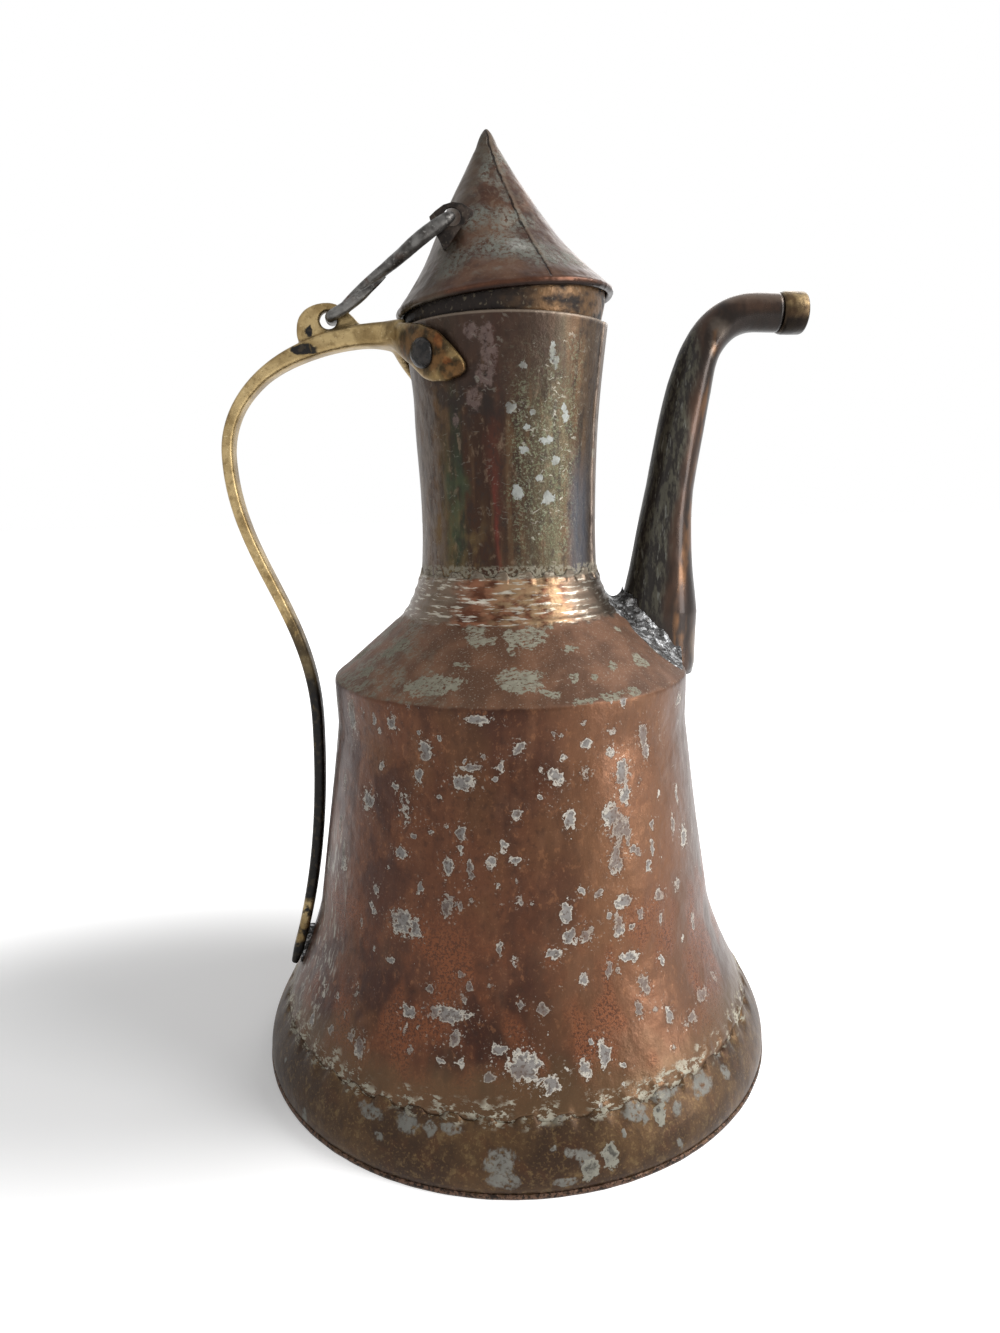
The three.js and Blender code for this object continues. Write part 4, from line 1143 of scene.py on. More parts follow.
debris = coat.patches(0.6, 0.66, 1.0, 4.0, seed=44, rough=0.6) * coat.step(field, 2.6, 1.3)
low_olive = coat.step(coat.z + coat.waver(26, 12, 4.0, seed=45), 38, 24)
streaked = coat.patches(0.56, 0.64, 1.5, 3.0, (1, 1, 9), seed=14, place=coat.shifted(3, 1.5, seed=3))
streaked = streaked * coat.step(azimuth, -146, -156) * coat.window(coat.z, 24, 96, 14)
faint = 0.5 + coat.patches(0.4, 0.56, 15, 2.0, seed=50) * 0.5
bell_colour = coat.layers(
    bell_colour,
    (shadowed * 0.4, (58, 38, 30)),
    (debris * 0.7, (158, 148, 136)),
    (low_olive * 0.6, (88, 70, 48)),
    (streaked * 0.75, (150, 146, 134)),
    (fleck * faint, fleck_colour),
)
print("with the flecks:", len(coat.tree.nodes), "nodes")

# %% [markdown]
# The shoulder was heated for the soldering and never polished again, so it is dull. Chalk lies on it in torn
# patches, and along its right edge a row of them is also a painted highlight. A haze covers its left, and
# smears of solder surround the root of the spout.

# %% The shoulder
chalk_place = coat.shifted(1.1, 1.8, seed=6, place=coat.shifted(5.0, 5.0, seed=5))
chalk_and_sheen_field = coat.marks(placed(shoulder_crust_and_sheen), chalk_place).least(coat.flecks(13, 0.4, 4, ragged))
# Mostly chalk, and along the right edge of the shoulder also a painted highlight.
chalk_and_sheen = coat.step(coat.torn(chalk_and_sheen_field, 2.6, 1.8, 42), 1.05, 0.85)
chalk_and_sheen = chalk_and_sheen * coat.patches(0.4, 0.5, 0.8, 4.0, (2.2, 1, 1), seed=17, rough=0.75)
haze_left = coat.step(azimuth + (coat.z - 150) * 1.2, -112, -150) * coat.patches(0.35, 0.6, 6, 3.0, seed=19)
haze_left = haze_left * coat.patches(0.42, 0.56, 1.2, 4.0, (2, 1, 1), seed=46, rough=0.7)
SPOUT_ROOT = (SPOUT_X, 0, 145)
apart = coat.node("ShaderNodeVectorMath", {"operation": "SUBTRACT"}, coat.place, SPOUT_ROOT)
smear = coat.step(coat.long(apart) + coat.waver(12, 5, 4.0, seed=47), 24, 17)
smear = smear * coat.patches(0.38, 0.54, 1.4, 4.0, (1, 2.4, 1), seed=48, rough=0.7)
shoulder_colour = coat.layers(
    coat.mix(coat.patches(0.38, 0.66, 9, 5.0, seed=15), (88, 62, 46), (112, 80, 60)),
    (coat.patches(0.6, 0.7, 0.6, 2.0, seed=16) * 0.45, (160, 150, 136)),
    (chalk_and_sheen, coat.mix(coat.noise(2, 2.0, seed=18), (120, 116, 99), (158, 155, 139))),
    (haze_left * 0.8, (118, 118, 104)),
    (smear * 0.85, coat.mix(coat.noise(2, 3.0, seed=49), (52, 48, 46), (150, 148, 144))),
)
print("with the shoulder:", len(coat.tree.nodes), "nodes")

# %% [markdown]
# Hands polished the collar, which is greyer at its sides. Its golden patches towards the camera are polish
# and also a painted highlight. Tin is left in the grooves between the beads as short level dashes.

# %% The collar
# Golden patches towards the camera: polish and also a painted highlight.
golden_polish_and_highlight = coat.window(azimuth, -104, -62, 12) * coat.patches(0.34, 0.6, 4, 3.0, (1, 1, 0.5), seed=36)
left_side = coat.step(azimuth + coat.waver(30, 7, 3.0, seed=37), -118, -136)
right_side = coat.step(azimuth + coat.waver(20, 5, 3.0, seed=51), -68, -56)
dash = coat.patches(0.54, 0.62, 2.2, 4.0, (3.0, 3.0, 0.42), seed=21, rough=0.6)
polished = coat.layers(
    coat.mix(coat.patches(0.4, 0.62, 5, 4.0, (1, 1, 0.5), seed=20), (74, 46, 34), (110, 74, 56)),
    (golden_polish_and_highlight * 0.5, (170, 146, 112)),
    (left_side.greatest(right_side) * 0.8, (104, 94, 82)),
    (dash * 0.8, coat.mix(coat.noise(3, 2.0, seed=38), (140, 134, 120), (196, 192, 180))),
    (coat.patches(0.58, 0.68, 1.3, 4.0, (2, 2, 0.7), seed=22) * 0.3, (66, 46, 36)),
)
print("with the collar:", len(coat.tree.nodes), "nodes")

# %% [markdown]
# The three parts are joined by height, with an uneven border. Crust lies along both seams. Whatever is
# dry, such as tin, chalk and crust, is less metallic, rougher and a little raised, and one mask drives
# all three.

# %% The body's copper as a whole
on_shoulder = coat.step(coat.z + coat.waver(1.2, 3, 2.0, seed=23), 140.0, 140.9)
on_collar = coat.step(coat.z + coat.waver(5, 5, 3.0, seed=24), 160.5, 162.0)
shoulder_only = on_shoulder * (1 - on_collar)
near_foot = coat.window(coat.z + coat.waver(10.0, 4, 3.0, seed=25), 17, 25, 2.0)
near_neck = coat.step(coat.z + coat.waver(2.4, 3, 2.0, seed=39), 175.2, 176.2)
crusted = (near_foot * 0.9).greatest(near_neck * 0.5)
crusted = crusted * coat.patches(0.5, 0.57, 1.5, 4.0, (2.2, 2.2, 1), seed=26, rough=0.7)
crusted = crusted * coat.patches(0.36, 0.5, 9, 2.0, seed=41)
copper_colour = coat.layers(
    bell_colour,
    (on_shoulder, shoulder_colour),
    (on_collar, polished),
    (near_neck * 0.85, coat.mix(coat.noise(2, 3.0, seed=40), (66, 54, 44), (124, 114, 98))),
    (crusted, coat.mix(coat.noise(1, 1.0, seed=27), (140, 132, 112), (196, 192, 176))),
)
dry = (near_neck * 0.8).greatest(smear * on_shoulder).greatest(fleck * (1 - on_shoulder))
dry = dry.greatest(chalk_and_sheen * on_shoulder * (1 - on_collar)).greatest(crusted)
metal = (1 - dry * 0.8) * (0.6 - shoulder_only * 0.2 + on_collar * 0.34)
gloss = 0.34 + dry * 0.3 + shoulder_only * 0.22 + on_collar * 0.02 + coat.waver(0.22, 6, 3.0, seed=28)
relief = dry * 0.07 + coat.noise(11, 2.0, seed=29) * (0.8 - on_collar * 0.5) + grain * 0.04
relief = relief + mottle * 0.16 - bare * speckle * 0.04
copper = coat.done(copper_colour, metal, gloss, relief)

# %% [markdown]
# ## The olive copper of the foot
# The foot band stood in damp, so it went olive brown. It carries bluish grey patches, a few rings with
# black middles, and a hem worn to bare pinkish metal with dark pits. It is made as the body's copper was.

# %% Marks and masks of the foot
foot_haze = (
    (371, 1110, 15, 6), (408, 1124, 13, 9), (429, 1128, 8, 7), (450, 1128, 13, 6), (379, 1135, 6, 4),
    (500, 1164, 17, 12), (504, 1181, 18, 9), (633, 1112, 14, 9), (667, 1093, 19, 6), (702, 1085, 14, 10),
    (725, 1072, 6, 12), (677, 1110, 7, 7), (681, 1143, 4, 8), (625, 1131, 3, 5), (304, 1116, 5, 9),
    (500, 1101, 15, 7), (552, 1150, 3, 4), (565, 1183, 13, 5), (585, 1160, 9, 10), (572, 1152, 8, 5),
)
foot_rings = ((590, 1170, 10, 10), (611, 1154, 8, 16), (660, 1114, 7, 14))
coat = Finish("olive_copper")
ragged = coat.shifted(1.6, 1.4, seed=2, place=coat.shifted(6.0, 3.6, seed=1))
mottle = coat.noise(3.2, 5.0, seed=37, rough=0.65)
field = coat.marks(placed(foot_haze), ragged)
field = field.least(coat.flecks(15, 0.26, 3, ragged)).least(coat.flecks(6, 0.16, 4, ragged))
haze = coat.step(coat.torn(field, 3.0, 1.6, 33), 1.15, 0.7)
haze = haze * coat.patches(0.3, 0.55, 1.6, 3.0, seed=4, rough=0.6)
rings = coat.torn(coat.marks(placed(foot_rings), coat.shifted(2.4, 4.0, seed=35)), 2.2, 2.2, 31)
ringed = coat.step(rings, 1.05, 0.9)
middles = coat.step(rings, 0.7, 0.3) * coat.patches(0.4, 0.5, 2.2, 4.0, seed=36)
seam_white = coat.window(coat.z + coat.waver(2.4, 3.5, 2.0, seed=7), 19.4, 24, 0.7)
seam_white = seam_white * coat.patches(0.42, 0.56, 9, 2.0, seed=34)
seam_white = seam_white * coat.patches(0.5, 0.57, 1.5, 4.0, (2.2, 2.2, 1), seed=8, rough=0.7)
hem = coat.step(coat.z + coat.waver(3.2, 3, 3.0, seed=10), 2.9, 1.6)
pits = coat.patches(0.46, 0.56, 1.1, 3.0, seed=11, rough=0.7)
print("masks of the foot:", len(coat.tree.nodes), "nodes")

# %% The foot finish
olive = coat.layers(
    coat.mix(coat.patches(0.36, 0.64, 22, 4.0, (1, 1, 0.8), seed=1), (54, 38, 26), (80, 59, 38)),
    (coat.patches(0.5, 0.72, 7, 4.0, seed=2) * 0.45, (75, 47, 29)),
    # Painted shade: the side towards the handle, away from the lights, is made darker.
    (coat.step(coat.turn(), -124, -166) * 0.7, (40, 29, 22)),
    (coat.patches(0.56, 0.68, 0.8, 2.0, seed=3) * 0.35, (120, 96, 63)),
    (coat.step(mottle, 0.5, 0.64) * 0.45, (46, 33, 24)),
    (coat.step(mottle, 0.46, 0.34) * 0.4, (112, 92, 62)),
    (haze * 0.85, coat.mix(coat.noise(2.5, 2.0, seed=5), (103, 101, 95), (138, 138, 131))),
    (ringed * 0.9, coat.mix(coat.noise(2, 3.0, seed=32), (104, 102, 94), (164, 162, 148))),
    (middles * 0.9, coat.mix(coat.noise(1.5, 2.0, seed=6), (34, 31, 28), (83, 79, 72))),
    (seam_white * 0.85, coat.mix(coat.noise(1, 1.0, seed=9), (126, 119, 100), (172, 169, 155))),
    (hem * 0.9, coat.mix(pits, (98, 74, 60), (30, 23, 19))),
)
dry = (haze * 0.8).greatest(seam_white).greatest(ringed)
foot_relief = mottle * 0.16 + dry * 0.06 + coat.noise(9, 2.0, seed=12) * 0.4
foot_relief = foot_relief + hem * coat.noise(1.3, 3.0, seed=13) * 0.4 + coat.noise(1.0, 2.0, seed=14) * 0.03
foot_gloss = 0.44 + dry * 0.24 + coat.waver(0.2, 8, 2.0, seed=15)
olive_copper = coat.done(olive, (1 - dry * 0.8) * 0.62, foot_gloss, foot_relief)

# %% [markdown]
# ## The neck
# Heat and polish drew the neck's colours into upright bands: green, brown-black, a red streak, and a broad
# field of fine grey-green speckle. A pale band at the edge of the lap is a painted highlight. A colour ramp
# over the azimuth holds the bands, and a noise pushes the azimuth about so that their edges waver.

# %% Bands and marks of the neck
neck_bands_and_lap_sheen = (
    (-178, (70, 57, 46)), (-160, (85, 68, 54)), (-150, (75, 57, 44)), (-141, (88, 64, 40)),
    (-133, (48, 46, 32)), (-126, (41, 41, 30)), (-120, (54, 34, 22)), (-108, (46, 29, 20)),
    (-103, (68, 38, 28)), (-98, (59, 38, 28)), (-92, (61, 43, 30)), (-82, (68, 57, 44)),
    (-66, (75, 68, 50)), (-55, (80, 60, 42)), (-42, (79, 64, 50)), (-32, (64, 52, 42)),
    # The pale stop at -28 degrees is a painted highlight on the edge of the lap.
    (-28, (123, 110, 100)), (-20, (91, 77, 65)), (-5, (75, 57, 44)), (40, (68, 47, 36)), (90, (80, 60, 45)),
    (130, (64, 46, 34)), (178, (70, 57, 46)),
)
neck_blots = (
    (553, 352, 4, 12), (556, 362, 5, 6), (523, 365, 5, 4), (511, 408, 6, 6), (527, 427, 4, 3),
    (547, 440, 7, 4), (524, 450, 6, 4), (549, 498, 7, 7), (517, 493, 6, 8), (566, 416, 4, 8),
    (564, 408, 3, 5), (532, 412, 4, 3), (556, 460, 5, 5), (540, 478, 4, 4),
)
neck_pink = (
    (486, 335, 9, 14), (488, 352, 9, 16), (484, 374, 10, 14), (474, 398, 9, 12), (470, 330, 8, 9),
    (455, 420, 5, 7),
)
coat = Finish("heat_coloured_copper")
wavering = coat.turn() + coat.waver(26, 9, 4.0, (1, 1, 3.2), seed=1)
wavering = wavering + coat.waver(9, 2.4, 3.0, (1, 1, 4), seed=2)
stops = [((degrees + 180) / 360, paint(*colour)) for degrees, colour in neck_bands_and_lap_sheen]
banded_with_lap_sheen = coat.node("ShaderNodeValToRGB", {"stops": stops}, wavering / 360 + 0.5)
print("neck bands:", len(neck_bands_and_lap_sheen))

# %% [markdown]
# Each mask below is one thing that a viewer sees on the neck: streaks drawn out by the polishing cloth, a
# mossy speckle, a bluish edge, pink scale, pale blots, soot under the lid, and a rubbed lip.

# %% Masks of the neck
ragged = coat.shifted(1.2, 0.9, seed=4, place=coat.shifted(4.0, 2.2, seed=3))
smudge = coat.noise(3.0, 5.0, (1, 1, 1.6), seed=31, rough=0.65)
lower = coat.step(coat.z, 206, 190) * coat.window(coat.turn(), -152, -112, 8)
green = coat.window(coat.turn() + coat.waver(20, 5, 3.0, (1, 1, 2), seed=8), -137, -124, 4)
green = green * coat.window(coat.z, 184, 214, 8)
red = coat.window(wavering, -105, -100, 2.0) * coat.window(coat.z, 180, 206, 10)
red = red * coat.patches(0.4, 0.6, 4, 4.0, (1, 1, 3), seed=32)
speckled = coat.window(coat.turn() + coat.waver(22, 8, 3.0, seed=10), -96, -48, 7)
speckled = speckled * coat.window(coat.z, 181, 250, 6)
speckled = speckled * (0.35 + coat.patches(0.4, 0.56, 6, 4.0, seed=47, rough=0.6) * 0.65)
fine = coat.patches(0.5, 0.6, 0.85, 4.0, seed=11, rough=0.75)
blue = coat.window(coat.turn(), -54, -36, 6) * coat.step(coat.z, 222, 200)
pink = coat.step(coat.torn(coat.marks(placed(neck_pink), ragged), 1.6, 1.4, 34), 1.2, 0.7)
blots = coat.torn(coat.marks(placed(neck_blots), coat.shifted(1.6, 2.2, seed=45)), 1.8, 2.2, 35)
blot = coat.step(blots, 1.05, 0.82)
far_marks = coat.flecks(8, 0.16, 15, ragged, (1, 1, 1.5))
soot = coat.window(coat.turn(), -152, -98, 10) * coat.window(coat.z, 225, 250, 7)
soot = soot * coat.patches(0.36, 0.56, 5, 3.0, seed=16)
top_dark = coat.step(coat.z + coat.waver(40, 8, 4.0, (1, 1, 1.6), seed=36), 226, 246)
top_dark = top_dark * coat.window(coat.turn(), -200, -62, 14)
left_grey = coat.step(coat.turn(), -134, -146)
left_grey = left_grey * coat.patches(0.42, 0.58, 4, 5.0, (1, 1, 2.4), seed=38, rough=0.65)
scratch = coat.patches(0.6, 0.67, 0.9, 3.0, (3, 3, 1), seed=40, place=coat.shifted(4, 6, seed=41))
scratch = scratch * coat.patches(0.42, 0.56, 8, 2.0, seed=42)
lip = coat.step(coat.z, 256.4, 257.0)
tin = coat.step(coat.z + coat.waver(2.4, 3, 3.0, seed=17), 180.2, 179.0)
tin = tin * coat.patches(0.44, 0.54, 1.3, 3.0, seed=18, rough=0.65)
print("masks of the neck:", len(coat.tree.nodes), "nodes")

# %% The neck finish
verdigris = coat.mix(coat.noise(4, 2.0, seed=9), (38, 67, 57), (74, 79, 45))
moss = coat.mix(coat.noise(6, 3.0, seed=12), (134, 137, 120), (100, 108, 70))
neck_colour = coat.layers(
    banded_with_lap_sheen,
    (coat.step(smudge, 0.5, 0.64) * 0.65, (44, 34, 30)),
    (coat.step(smudge, 0.44, 0.3) * 0.4, (132, 112, 92)),
    (coat.patches(0.5, 0.72, 3.2, 3.0, (1, 1, 9), seed=5) * 0.5, (100, 76, 53)),
    (coat.patches(0.55, 0.72, 2.4, 3.0, (1, 1, 12), seed=6) * 0.55, (34, 26, 22)),
    (lower * coat.patches(0.4, 0.6, 4, 3.0, (1, 1, 2), seed=7) * 0.6, (101, 81, 50)),
    (green * 0.5 * coat.patches(0.36, 0.6, 3, 4.0, (1, 1, 2), seed=33), verdigris),
    (red * 0.5, (107, 43, 36)),
    (speckled * fine * 0.62, moss),
    (blue * 0.5, (89, 96, 107)),
)
pink_scale = coat.mix(coat.noise(2, 2.0, seed=13), (84, 68, 64), (122, 104, 98))
pale_blot = coat.mix(coat.noise(2, 2.0, seed=14), (129, 131, 127), (177, 181, 177))
charred = coat.mix(coat.noise(4, 4.0, seed=37), (34, 24, 20), (70, 52, 42))
greyed = coat.mix(coat.noise(2.2, 4.0, (1, 1, 2), seed=39), (42, 36, 34), (124, 112, 102))
neck_colour = coat.layers(
    neck_colour,
    (pink * coat.patches(0.36, 0.52, 1.8, 4.0, seed=46, rough=0.7) * 0.7, pink_scale),
    (blot * (0.35 + coat.patches(0.4, 0.56, 9, 2.0, seed=44) * 0.5), pale_blot),
    (coat.step(far_marks, 1.0, 0.75) * 0.5, (129, 126, 115)),
    (soot * 0.85 * (1 - pink), (36, 29, 26)),
    (top_dark * 0.8 * (1 - pink) * (1 - blot), charred),
    (left_grey * 0.7, greyed),
    (scratch * (0.2 + speckled * 0.5), (150, 146, 134)),
    (lip * 0.6, (144, 129, 114)),
    (tin * 0.7, (138, 132, 115)),
)
dry = (blot * 0.7).greatest(tin * 0.7).greatest(pink * 0.5).greatest(speckled * fine * 0.4)
neck_relief = coat.noise(12, 2.0, (1, 1, 2), seed=19) * 0.7 + smudge * 0.3
neck_relief = neck_relief + coat.noise(0.8, 3.0, seed=43, rough=0.7) * 0.06 + dry * 0.04
neck_relief = neck_relief + coat.noise(1.1, 3.0, seed=20) * 0.03
neck_gloss = 0.4 + dry * 0.22 + coat.waver(0.24, 5, 3.0, (1, 1, 2), seed=21)
neck_finish = coat.done(neck_colour, 0.6 - dry * 0.4, neck_gloss, neck_relief)

# %% [markdown]
# ## The spout
# The spout is dark and rough towards the handle, where soot and old tinning cling to it, and smooth brown
# on its outer side, where the hand and the cloth pass. The two sides are told apart by the distance from
# the middle line of the tube, which leans, so that distance is measured from a line that leans with it.

# %% The spout finish
coat = Finish("spout_copper")
ragged = coat.shifted(1.4, 1.2, seed=2, place=coat.shifted(5.0, 3.0, seed=1))
straight = {"interpolation_type": "LINEAR"}
spine_x = coat.node("ShaderNodeMapRange", straight, coat.z, 160.0, 245.0, 55.0, 66.8)
side = coat.x - spine_x + coat.waver(7, 9, 3.0, (1, 1, 2.5), seed=3)
left = coat.step(side, 0.2, -3.4) * coat.step(coat.x, 84, 72)
brown = coat.mix(coat.patches(0.4, 0.64, 7, 4.0, (1, 1, 3), seed=4), (34, 24, 18), (60, 42, 31))
flaky = coat.patches(0.44, 0.6, 1.5, 5.0, (1, 1, 4), seed=5, rough=0.65)
sooty = coat.mix(flaky, (30, 25, 21), (72, 69, 58))
root_dark = coat.step(coat.z + coat.waver(16, 5, 3.0, seed=6), 166, 152) * coat.step(coat.x, 64, 58)
# Pale marks on the elbow, which also serve as a painted highlight on its top.
elbow_pale_and_sheen = coat.marks([((73.5, -3.0, 257.5), 4.5, 4.0), ((70.5, -5.0, 252.0), 2.0, 5.0)], ragged)
boss = coat.marks([((66.5, -3.0, 147.0), 5.5, 9.0), ((67.5, 0.0, 143.0), 5.0, 6.0)], ragged)
# Painted light: a golden band along the edge of the tube that faces the lamps.
painted_edge_light = coat.window(side, 3.4, 7.0, 1.2) * coat.patches(0.4, 0.6, 6, 3.0, (1, 1, 2), seed=13)
painted_edge_light = painted_edge_light * coat.step(coat.x, 84, 74)
# Painted reflection: a pale streak along the top of the nozzle.
painted_nozzle_highlight = coat.window(coat.z + coat.waver(3, 4, 3.0, seed=15), 266.5, 271, 1.6) * coat.step(coat.x, 70, 78)
# Painted shade: the underside of the nozzle is made near black.
painted_nozzle_shade = coat.step(coat.z + coat.waver(3, 3, 3.0, seed=14), 264.5, 261) * coat.step(coat.x, 73, 80)
spout_colour = coat.layers(
    coat.mix(left, brown, sooty),
    (root_dark * 0.8, (37, 30, 25)),
    (coat.patches(0.6, 0.7, 1.2, 3.0, (1, 1, 5), seed=7) * left * 0.7, (108, 108, 101)),
    (coat.patches(0.62, 0.7, 1.0, 3.0, (1, 1, 6), seed=8) * (1 - left) * 0.6, (43, 31, 25)),
    (coat.step(elbow_pale_and_sheen, 1.3, 0.4) * 0.45, (132, 120, 108)),
    (coat.step(boss, 1.1, 0.6) * 0.8, (104, 86, 68)),
    (coat.step(coat.x, 94.2, 95.6) * 0.85, (25, 21, 18)),
    # Painted light on the edge, a painted reflection on the nozzle and painted shade under it follow.
    (painted_edge_light * 0.6, (122, 84, 50)),
    (painted_nozzle_highlight * 0.5, (124, 106, 92)),
    (painted_nozzle_shade * 0.85, (22, 17, 14)),
)
spout_gloss = 0.3 + left * 0.2 + coat.waver(0.2, 4, 3.0, (1, 1, 2), seed=9)
spout_relief = coat.noise(7, 2.0, (1, 1, 2), seed=10) * 0.35 + left * coat.noise(1.3, 3.0, seed=11) * 0.16
spout_relief = spout_relief + coat.noise(0.8, 2.0, seed=12) * 0.02
spout_finish = coat.done(spout_colour, 0.62 - left * 0.2, spout_gloss, spout_relief, coat=0.12)

# %% [markdown]
# ## The lid
# The cone is brown with drifts of blue-grey bloom, which gather beside the seam and over the side that
# faces the handle. A dark crack runs along the seam. The rolled rim is rubbed to copper. The lid sits
# askew, so its masks read the height over its own rim.

# %% Masks of the lid
coat = Finish("bloomed_copper")
lean, upright = math.sin(LID_TILT), math.cos(LID_TILT)
over = (coat.z - RIM_Z) * upright - coat.x * lean
ragged = coat.shifted(1.6, 1.8, seed=2, place=coat.shifted(6.0, 5.0, seed=1))
bloom_marks = [
    ((-4.0, -27.0, 278.0), 10.0, 6.0), ((5.0, -24.0, 276.0), 8.0, 5.0), ((-10.0, -17.0, 287.0), 5.0, 6.0),
    ((12.0, -26.0, 273.0), 7.0, 4.0), ((-7.0, -9.0, 303.0), 2.5, 9.0), ((-20.0, -24.0, 273.0), 6.0, 8.0),
    ((3.0, -17.5, 287.0), 3.0, 8.0), ((20.0, -20.0, 275.0), 6.0, 4.0),
]
strewn = coat.patches(0.5, 0.64, 9, 4.0, seed=5, place=ragged) * 0.8
drifts = coat.step(coat.marks(bloom_marks, ragged), 1.25, 0.5).greatest(strewn)
drifts = drifts * coat.patches(0.4, 0.56, 1.4, 5.0, seed=6, rough=0.75) * coat.step(over, 2.5, 6.0)
vein = coat.window(coat.noise(6, 4.0, seed=16, place=ragged), 0.47, 0.52, 0.02) * coat.step(over, 3, 7)
rubbed = coat.step(over + coat.waver(2.6, 4, 3.0, seed=8), 1.3, -0.1)
smoked_side = coat.step(coat.turn() + coat.waver(40, 7, 3.0, seed=17), -118, -146)
bright_marks = [((1.6, -23.6, 277.2), 5.2, 2.6), ((-2.0, -24.4, 274.6), 3.4, 1.6)]
bright = coat.step(coat.marks(bright_marks, ragged), 1.15, 0.55)
bright = bright * coat.patches(0.36, 0.54, 1.1, 4.0, (1, 1, 2), seed=20, rough=0.7)
print("masks of the lid:", len(coat.tree.nodes), "nodes")

# %% The lid's colours
bloom = coat.mix(coat.noise(4, 2.0, seed=7), (94, 103, 96), (132, 130, 120))
rubbed_copper = coat.mix(coat.noise(2.5, 3.0, seed=9), (49, 30, 22), (92, 57, 40))
smoke = coat.mix(coat.noise(3, 4.0, (1, 1, 3), seed=18), (35, 29, 25), (92, 83, 70))
bright_grey = coat.mix(coat.noise(2.2, 4.0, (1, 1, 2), seed=21), (84, 86, 84), (186, 184, 176))
lid_colour = coat.layers(
    coat.mix(coat.patches(0.38, 0.64, 13, 4.0, seed=3), (66, 44, 34), (92, 66, 50)),
    (coat.patches(0.58, 0.68, 0.9, 2.0, seed=4) * 0.3, (111, 88, 70)),
    (coat.patches(0.5, 0.64, 6, 5.0, seed=15, rough=0.6) * 0.5, (46, 30, 23)),
    (vein * 0.22, (122, 111, 95)),
    (drifts * 0.8, bloom),
    (rubbed * 0.75, rubbed_copper),
    # Painted shade: the underside of the rolled rim is made near black.
    (coat.step(over, -0.3, -1.2) * 0.9, (26, 18, 15)),
    (smoked_side * 0.72, smoke),
    (bright * 0.75, bright_grey),
)

# %% [markdown]
# The crack has to follow the seam that the mesh has. A float curve gives the seam's azimuth at a height,
# and the distance along the wall from it is the angle times the radius.

# %% The crack along the seam
seam_heights = (0.0, 6, 13, 22, 36, 45, CONE_TALL)
seam_degrees = (107, 109, 111, 112, 110, 104, 94)
seam_stops = tuple((h / CONE_TALL, turned / 180) for h, turned in zip(seam_heights, seam_degrees))
seam_turn = coat.node("ShaderNodeFloatCurve", {"stops": seam_stops}, Value=over / CONE_TALL)
sway = coat.node("ShaderNodeMath", {"operation": "SINE"}, over * (math.pi / CONE_TALL))
own_x = coat.x * upright + (coat.z - RIM_Z) * lean + CONE_SWAY * sway
own_turn = coat.angle(coat.y, own_x)
from_axis = coat.long(coat.node("ShaderNodeCombineXYZ", None, own_x, coat.y))
off_seam = (own_turn - (seam_turn * 180 - 180)) * from_axis * (math.pi / 180)
off_seam = off_seam + coat.waver(1.2, 2.5, 2.0, seed=10)
crack = coat.window(off_seam, -0.42, 0.1, 0.16) * coat.step(over, 0.3, 1.2)
open_part = 0.35 + coat.patches(0.35, 0.6, 3.5, 2.0, seed=11) * 0.65
crack = crack * open_part.greatest(coat.step(over, 36, 44))
beside = coat.window(off_seam, 0.1, 1.4, 0.4) * coat.step(over, 3, 6)
lid_colour = coat.layers(lid_colour, (beside * 0.35, (122, 106, 90)), (crack * 0.85, (30, 22, 19)))
lid_gloss = 0.37 + drifts * 0.24 - rubbed * 0.08 + coat.waver(0.2, 6, 3.0, seed=12)
lid_relief = coat.noise(8, 2.0, seed=13) * 0.8 + coat.noise(3, 4.0, seed=19) * 0.16 + drifts * 0.04
lid_relief = lid_relief - crack * 0.3 + coat.noise(1.0, 2.0, seed=14) * 0.02
lid_finish = coat.done(lid_colour, 0.72 - drifts * 0.4, lid_gloss, lid_relief)

# %% [markdown]
# The collar below the lid is painted dark as shade under the rim, with golden-brown patches where it rubs on
# the mouth.
# The eye is smoked dark.

# %% The lid collar and the eye
coat = Finish("rubbed_collar")
patch = coat.patches(0.36, 0.62, 6, 4.0, (1, 1, 0.7), seed=1)
patch = patch * coat.step(coat.turn() + coat.waver(30, 6, 2.0, seed=4), -100, -70)
# Painted shade: the collar's dark ground under the rim.
collar_shade = coat.mix(coat.noise(2, 3.0, seed=2), (15, 12, 11), (38, 29, 24))
collar_colour = coat.layers(
    coat.mix(patch, collar_shade, (104, 78, 52)),
    (coat.patches(0.6, 0.68, 1.5, 3.0, seed=3) * 0.3, (126, 116, 96)),
)
collar_finish = coat.done(collar_colour, 0.55, 0.5 - patch * 0.15, coat.noise(1.6, 3.0, seed=5) * 0.25)

coat = Finish("smoked_tab")
tab_colour = coat.layers(
    coat.mix(coat.patches(0.4, 0.62, 3, 4.0, seed=1), (28, 23, 20), (58, 49, 43)),
    (coat.patches(0.58, 0.68, 0.9, 3.0, seed=2) * 0.35, (104, 96, 84)),
)
tab_gloss = coat.noise(2, 2.0, seed=3) * 0.3 + 0.32
tab_finish = coat.done(tab_colour, 0.6, tab_gloss, coat.noise(1.5, 3.0, seed=4) * 0.2)

# %% [markdown]
# ## Brass, iron and solder
# The casting is aged brass, satin and brown in its hollows. Below its waist it was lacquered black, and
# the lacquer has worn off near the foot. A dark stain lies on the leaf and a chip of lacquer on the ear,
# and both are marks at a place on the object.

